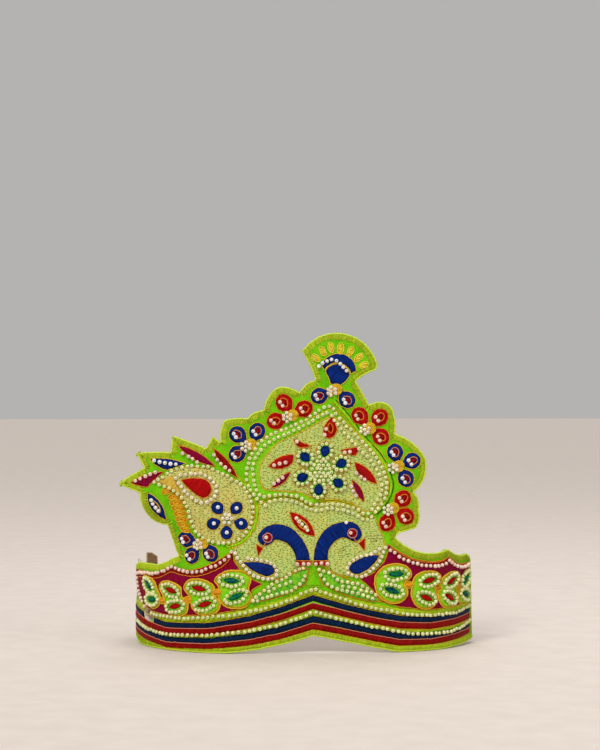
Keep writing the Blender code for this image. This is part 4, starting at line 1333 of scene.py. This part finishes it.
# Rows of pearls: the colour of the beads, their pitch and a few points that the row runs through.
ROW_COLUMNS = ("name", "colour", "pitch_mm", "closed", "points")
PEARL_ROWS = (
    ("band_row_upper", PEARL_GREEN_REFLECTION, 2.93, False, (
        (-98.8, 19.4), (-91.7, 18.9), (-75.3, 18.7), (-62.8, 19.5),
        (-48.5, 20.9), (-37.5, 22.6), (-22.2, 26.1), (-10.9, 30.3), (-4, 33.8), (0.3, 35.4),
        (3.4, 34.2), (7.4, 32.9), (18.9, 28.9), (30.5, 25.2), (42.1, 23.2), (52.3, 20.9),
        (64.1, 19.9), (80.6, 19.7), (92.9, 20.3), (104.8, 22))),
    ("band_row_lower", PEARL_GREEN_REFLECTION, 2.93, False, (
        (-119.6, 13.0), (-103.3, 10.3), (-86.4, 8.9), (-72.0, 9.4), (-58.2, 10.0),
        (-44.2, 11.6), (-27.5, 14.0), (-16.2, 16.7), (-4.2, 20.9), (0.4, 22.9), (6.4, 21.0),
        (18.4, 17.8), (30.1, 15.0), (41.7, 12.7), (54.2, 10.2), (69.1, 9.5), (86.3, 9.9),
        (105, 13.1))),
    ("side_row_left", PEARL_PINK_REFLECTION, 2.85, False, (
        (-119.8, 39.9), (-110, 41.4), (-95.2, 41.9), (-84.4, 45.1), (-80.8, 46.5), (-75.3, 45.3),
        (-65.8, 44.6), (-55.7, 47.4), (-48.2, 51.8), (-44.9, 56.0))),
    ("end_row_left", PEARL_PINK_REFLECTION, 2.9, False, (
        (-119.8, 37.4), (-118.6, 34.4), (-115.4, 30.2), (-110.8, 26.4), (-107.8, 22.9))),
    ("side_row_right", PEARL_PINK_REFLECTION, 2.9, False, (
        (42.6, 56.5), (50.3, 51.4), (59.9, 48.0), (70.0, 46.9), (76.5, 47.6), (80.4, 49.3),
        (85.7, 46.4), (92.9, 44.6), (102.1, 45.6))),
    ("sweep_right_upper", PEARL_GREEN_REFLECTION, 2.9, False, (
        (3.2, 46.0), (8.8, 44.3), (13.4, 40.7), (18.5, 39), (24.8, 38.1), (30.5, 34.9),
        (34.6, 31.8))),
    ("sweep_right_lower", PEARL_GREEN_REFLECTION, 2.9, False, (
        (4.4, 42.8), (8.0, 38.3), (13.4, 35.4), (19.6, 33.9), (26.1, 32.7), (33.0, 29.9))),
    ("sweep_right_middle", PEARL_GREEN_REFLECTION, 3.2, False, ((16.5, 37), (22.1, 36.0), (29.4, 33.6))),
    ("sweep_left_upper", PEARL_GREEN_REFLECTION, 2.9, False, (
        (-5, 47.2), (-8.9, 46.2), (-13.9, 42.4), (-21.5, 38.7), (-26.9, 34.8), (-33.2, 29.2))),
    ("sweep_left_lower", PEARL_GREEN_REFLECTION, 2.9, False, (
        (-4.2, 42.6), (-7.5, 38.0), (-12.9, 34.4), (-21.5, 32.4), (-30.5, 29.4))),
    ("sweep_left_middle", PEARL_GREEN_REFLECTION, 3.2, False, ((-12.4, 39.6), (-18.2, 37.3), (-24.2, 34.4))),
    ("wing_ring_right", PEARL, 2.75, False, (
        (39.9, 57.9), (39.0, 54.7), (36.2, 49.7), (32.5, 45.7), (28.6, 42.7), (23.0, 42.2),
        (18.6, 44.8), (20.4, 49.5), (26.1, 53.2), (31.8, 54.6), (36.6, 57.4))),
    ("wing_ring_left", PEARL, 2.75, False, (
        (-42.8, 55.2), (-39.8, 49.8), (-35.5, 45.2), (-30.2, 41.9), (-24.2, 41.0),
        (-20.2, 43.2), (-20.6, 47.4), (-24.2, 50.4), (-30.2, 51.4), (-36.2, 52.8))),
    ("collar_left", PEARL_PINK_REFLECTION, 2.7, False, ((-8.6, 49.2), (-2.4, 49.2))),
    ("collar_right", PEARL_PINK_REFLECTION, 2.7, False, ((1.6, 49.2), (7.6, 49.4))),
    ("almond_row", PEARL, 2.4, False, ((-9.2, 74.2), (-3.0, 68.0))),
    ("flame_1", PEARL_PINK_REFLECTION, 2.8, False, ((-97.4, 95.2), (-92, 97.4), (-86.6, 99.7))),
    ("flame_2", PEARL_NAVY_REFLECTION, 2.95, False, ((-87, 106), (-81, 104.8), (-75.1, 104.3))),
    ("flame_3", PEARL_PINK_REFLECTION, 3.1, False, ((-71.2, 110.2), (-63.6, 105.3))),
    ("flame_4", PEARL_PINK_REFLECTION, 2.9, False, ((-54.2, 109.3), (-50.6, 104.2), (-46, 100.1))),
    ("petal_row", PEARL_NAVY_REFLECTION, 2.2, False, ((-88.8, 84.5), (-86.9, 80.6), (-84.9, 78.2))),
    ("leaf_red_left", PEARL_PINK_REFLECTION, 3.1, False, ((-21.6, 103.6), (-15.4, 105.2))),
    ("leaf_red_low_left", PEARL_PINK_REFLECTION, 2.8, False, ((-21.4, 93.2), (-17, 96.7))),
    ("leaf_red_top_left", PEARL_PINK_REFLECTION, 9.0, False, ((-9.2, 116.4), (-9.1, 116.4))),
    ("leaf_red_top_right", PEARL_PINK_REFLECTION, 2.9, False, ((17.2, 110.6), (20.1, 110.6))),
    ("leaf_red_right", PEARL_PINK_REFLECTION, 2.9, False, ((23.7, 98.8), (28.3, 95.3))),
    ("leaf_red_low_right", PEARL_PINK_REFLECTION, 2.8, False, ((20.9, 91.9), (21.8, 89.3), (23.6, 86.8))),
    ("drop_top", PEARL_PINK_REFLECTION, 2.9, False, ((6.9, 123.2), (6.4, 120.3))),
    ("fan_row", PEARL_NAVY_REFLECTION, 2.75, False, (
        (3.2, 157.8), (5.7, 160), (8.7, 161.3), (11.8, 161.3), (14.6, 159.4), (18.4, 154.9))),
    ("paisley_outer", PEARL_GREEN_REFLECTION, 2.9, True, (
        (-86.9, 94.1), (-82, 97.6), (-75.2, 101.5), (-65.9, 103.2), (-56.6, 102), (-48, 97.9),
        (-40.3, 93.4), (-35.2, 86.9), (-33.1, 78.4), (-35.1, 69.2), (-41.6, 62.6), (-50.6, 60.9),
        (-58.6, 62.6), (-64.7, 67.6), (-67.4, 74.8), (-69.6, 82.2), (-75, 88.4), (-81.3, 92.0))),
    ("paisley_drop_ring", PEARL, 2.8, True, (
        (-75.2, 96.4), (-70, 98.6), (-62.4, 98.8), (-55.6, 95.4), (-52.8, 90), (-56, 84.4),
        (-61.6, 83.2), (-67.6, 86.6), (-72, 91.6))),
    ("leaf_outer", PEARL_GREEN_REFLECTION, 3.0, True, (
        (6, 135.3), (-5, 128), (-16.5, 122.8), (-25, 119.3), (-32, 112.6), (-35.7, 104.9),
        (-36.5, 96.6), (-34.7, 90.3), (-27.3, 82.2), (-21.7, 84.3), (-15.7, 84.6), (-9.4, 83.3),
        (-0.8, 78.6), (5.2, 79), (10.8, 79.8), (20, 77.7), (29.5, 73.3), (34.5, 77.7),
        (38.9, 84.7), (40.8, 91.7), (39.3, 98.5), (33.8, 109.2), (25.3, 117.9), (14.7, 129.1),
        (10.4, 135))),
    ("leaf_inner", PEARL_GREEN_REFLECTION, 3.0, True, (
        (7.8, 132.2), (-3.5, 126.1), (-14.2, 120.8), (-22.4, 117.3), (-30, 110.6), (-33, 102.9),
        (-32.3, 93.9), (-28.4, 86.6), (-18.7, 87.4), (-9, 86.3), (-1.5, 82.2), (6.4, 81.9),
        (11.8, 82.2), (20.6, 80.6), (29.2, 76.6), (33.6, 81.5), (37.4, 88), (37.7, 93.5),
        (36.2, 98.4), (31.2, 106.6), (23, 114.9), (15.8, 122.6), (11.4, 128.4))),
)
ROW_GROUPS = (
    ("band_pearls", ("band_", "side_", "end_")),
    ("sweep_pearls", ("sweep_", "wing_", "collar_", "almond_")),
    ("flame_pearls", ("flame_", "petal_", "fan_", "drop_", "leaf_red")),
    ("paisley_pearls", ("paisley_",)),
    ("leaf_rim_pearls", ("leaf_outer", "leaf_inner")),
)


def pearl_rows():
    for group, starts in ROW_GROUPS:
        beads = Piece(group)
        for name, colour, pitch, closed, points in PEARL_ROWS:
            if name.startswith(starts):
                pearls(beads, spaced(smooth_curve(points, closed), pitch, closed), colour)
        beads.make()


# Loops of gold thread: where each sits, its half length and width, and its tilt.
LOOP_COLUMNS = ("s_mm", "z_mm", "half_long", "half_wide", "tilt_deg")
FAN_LOOPS = (
    (1.6, 162.4, 2.9, 1.5, 140), (5.3, 166.0, 2.9, 1.6, 122), (9.9, 168.0, 3.0, 1.7, 102),
    (15.2, 167.7, 3.0, 1.8, 84), (20.7, 166.0, 3.0, 1.6, 62), (25.2, 162.6, 3.0, 1.6, 42),
    (28.0, 158.4, 2.9, 1.5, 18),
)
SIDE_LOOPS = (
    (-79.8, 89.6, 3.6, 1.9, 20), (-76.0, 86.3, 3.9, 1.8, 10), (-75.0, 83.0, 3.9, 1.8, 5),
    (-74.1, 79.9, 3.8, 1.8, 0), (-73.3, 76.8, 3.7, 1.7, 0), (-72.6, 73.7, 3.6, 1.7, -5),
    (-71.8, 70.7, 3.4, 1.7, -8), (-70.6, 67.9, 3.0, 1.6, -14),
)


LOOP_GROUPS = (("fan_loops", FAN_LOOPS, "yellow", LOOP_GOLD),
               ("side_loops", SIDE_LOOPS, "amber", GOLD))
LOOP_RINGS = (1.0, 0.45)
LOOP_CORD = 0.27


def gold_loops():
    for name, loops, material, colour in LOOP_GROUPS:
        piece = Piece(name)
        for s, z, half_long, half_wide, tilt in loops:
            patch(piece, oval((s, z), half_long, half_wide, tilt), material, "loop", tilt)
            for share in LOOP_RINGS:
                ring = oval((s, z), half_long * share, half_wide * share, tilt)
                cord(piece, ring, LOOP_CORD, colour, closed=True, wander=0.12)
        piece.make()


# The peacocks' eyes: where each is, and the side its thread hangs to.
EYE_COLUMNS = ("centre", "side")
EYES = (((-25, 63.8), -1), ((21.6, 66), 1))
EYE_RADIUS = 1.9
EYE_RING = 2.5
EYE_THREAD = ((0.8, -2.4), (2.6, -5.4))
LONE_PEARL = (18.2, 71.9)


def peacock_eyes():
    piece = Piece("peacock_eyes", "red_thread")
    beads = Piece("peacock_pearls")
    for centre, side in EYES:
        patch(piece, oval(centre, EYE_RADIUS, EYE_RADIUS, 0.0), "red", "iris")
        cord(piece, oval(centre, EYE_RING, EYE_RING, 0.0), 0.3, PINK, closed=True)
        hanging = [(centre[0] + side * across, centre[1] + up) for across, up in EYE_THREAD]
        cord(piece, hanging, FINE_CORD, ORANGE)
        pearls(beads, [(centre[0] - 1.0, centre[1] + 0.3)], PEARL_PINK_REFLECTION)
    pearls(beads, [LONE_PEARL], PEARL_NAVY_REFLECTION)
    piece.make()
    beads.make()


# The hook tape inside the band's left end.
TAPE_OUTLINE = ((-158.5, 14, 0), (-147, 14, 0), (-147, 49.6, 0), (-152.5, 49, 0), (-158.5, 46.6, 0))


TAPE_SPACING = 1.0
TAPE_GAP = 0.35
TAPE_THICKNESS = 0.9
TAPE_SWELL = 0.25
TAPE_SHOULDER = 0.8
HOOK_COUNT = 700
HOOK_DRIFT = ((0.0, 0.18), (0.05, 0.2))
HOOK_RISES = ((0.1, 0.3), (0.2, 0.4))
HOOK_SHADES = (0.5, 1.3)


def fastening_tape():
    piece = Piece("hook_tape", "brown_tape", ("fastening_tape",))
    loop = drawn(TAPE_OUTLINE)
    points, faces = fill(loop, TAPE_SPACING)
    back = -PANEL_THICKNESS - TAPE_GAP
    depth = edge_distance(points, loop)
    count = len(points)
    piece.add(bend(points, np.full(count, back)), [faces], "thread", points, TAPE_BROWN)
    swell = TAPE_THICKNESS + TAPE_SWELL * dome(depth, TAPE_SHOULDER)
    swell = swell + noise.normal(0.0, PUCKER, count)
    piece.add(bend(points, back - swell), [faces[:, ::-1]], "thread", points, TAPE_BROWN)
    wall = rim_walls(faces, depth < ON_RIM)
    piece.add_walls(wall, [piece.slots.index("thread")] * len(wall))
    for _ in range(HOOK_COUNT):
        start = points[chance.randrange(count)]
        drift = np.array([chance.gauss(*spread) for spread in HOOK_DRIFT])
        flat = np.array([start, start + drift, start + 2 * drift])
        out = back - 1.0 - np.array([0.0] + [chance.uniform(*rise) for rise in HOOK_RISES])
        strand(piece, flat, out, FUZZ_RADIUS, shaded(TAPE_BROWN, chance.uniform(*HOOK_SHADES)))
    piece.make()


# The stage: a pale table, soft lights and the camera.
CAMERA_AZIMUTH = -4.0
CAMERA_DISTANCE = 1133.0
CAMERA_HEIGHT = 153.0
CAMERA_LENS = 98.9
CAMERA_SENSOR = 36.0
FOCAL_PX = 2060.0
FRAMING_PX = 13.0
FLOOR_COLOUR = tint(214, 202, 192)
FLOOR_HALF = 6.0
FLOOR_SHADE = 0.93
FLOOR_GRAIN = {"Scale": 60.0, "Detail": 6.0}


def stage():
    finish = Finish("pale_floor", 0.75, specular=0.2)
    coordinates = finish.node("ShaderNodeTexCoord").outputs["Object"]
    grain = finish.node("ShaderNodeTexNoise", {"Vector": coordinates, **FLOOR_GRAIN})
    dark = shaded(FLOOR_COLOUR, FLOOR_SHADE)
    finish.colour(finish.ramp(grain.outputs["Fac"], (0.3, dark), (0.7, FLOOR_COLOUR)))
    mesh = bpy.data.meshes.new("floor")
    corners = ((-1, -1), (1, -1), (1, 1), (-1, 1))
    mesh.from_pydata([(x * FLOOR_HALF, y * FLOOR_HALF, 0) for x, y in corners], [], [(0, 1, 2, 3)])
    mesh.materials.append(finish.material)
    place("floor", mesh)


def aim(made, direction):
    """Turn a lamp or the camera to look along a direction."""
    made.rotation_euler = direction.to_track_quat("-Z", "Y").to_euler()


SUN_ENERGY = 2.1
SUN_ANGLE = 24.0
SUN_FROM = (-0.55, -1.0, 1.05)
LIGHT_COLUMNS = ("name", "place", "size", "power", "colour")
LIGHTS = (
    ("fill", (0.9, -0.9, 0.7), 0.9, 3.5, (0.97, 0.98, 1.0)),
    ("top", (0.1, 0.15, 1.2), 0.8, 5.0, (1.0, 1.0, 1.0)),
)
WORLD_COLOUR = (0.83, 0.82, 0.81)
WORLD_STRENGTH = 0.55
LIT_POINT = (0.0, -0.03, 0.07)


def lights():
    lamp = bpy.data.lights.new("sun", "SUN")
    lamp.energy = SUN_ENERGY
    lamp.angle = math.radians(SUN_ANGLE)
    aim(place("sun", lamp), -Vector(SUN_FROM))
    for name, position, size, power, colour in LIGHTS:
        lamp = bpy.data.lights.new(name, "AREA")
        lamp.shape = "DISK"
        lamp.size = size
        lamp.energy = power
        lamp.color = colour
        made = place(name, lamp)
        made.location = position
        aim(made, Vector(LIT_POINT) - Vector(position))
    world = bpy.data.worlds.new("studio")
    world.use_nodes = True
    background = world.node_tree.nodes["Background"]
    background.inputs["Color"].default_value = (*WORLD_COLOUR, 1.0)
    background.inputs["Strength"].default_value = WORLD_STRENGTH
    bpy.context.scene.world = world


def camera():
    azimuth = math.radians(CAMERA_AZIMUTH)
    turn = azimuth + math.atan(FRAMING_PX / FOCAL_PX)
    away = Vector((math.sin(azimuth), -math.cos(azimuth), 0.0))
    lens = bpy.data.cameras.new("camera")
    lens.sensor_width = CAMERA_SENSOR
    lens.lens = CAMERA_LENS
    made = place("camera", lens)
    origin = Vector((SHIFT_X, SHIFT_Y, CAMERA_HEIGHT)) * MM
    made.location = origin + away * CAMERA_DISTANCE * MM
    aim(made, Vector((-math.sin(turn), math.cos(turn), 0.0)))
    bpy.context.scene.camera = made


panel_cloth()
overlock_edge()
rim_cord()
edge_fuzz()
lime_strips()
stripes()
outlined_patches(FIELDS, "field", FIELD_CORD)
field_trims()
leaf_pairs()
flowers()
outlined_patches(MOTIFS, "motif", MOTIF_CORD)
loose_stitches()
inner_shapes()
paisley_flower()
rosette()
gold_loops()
peacock_eyes()
pearl_rows()
fastening_tape()
stage()
lights()
camera()
bpy.context.scene.view_settings.view_transform = "Standard"
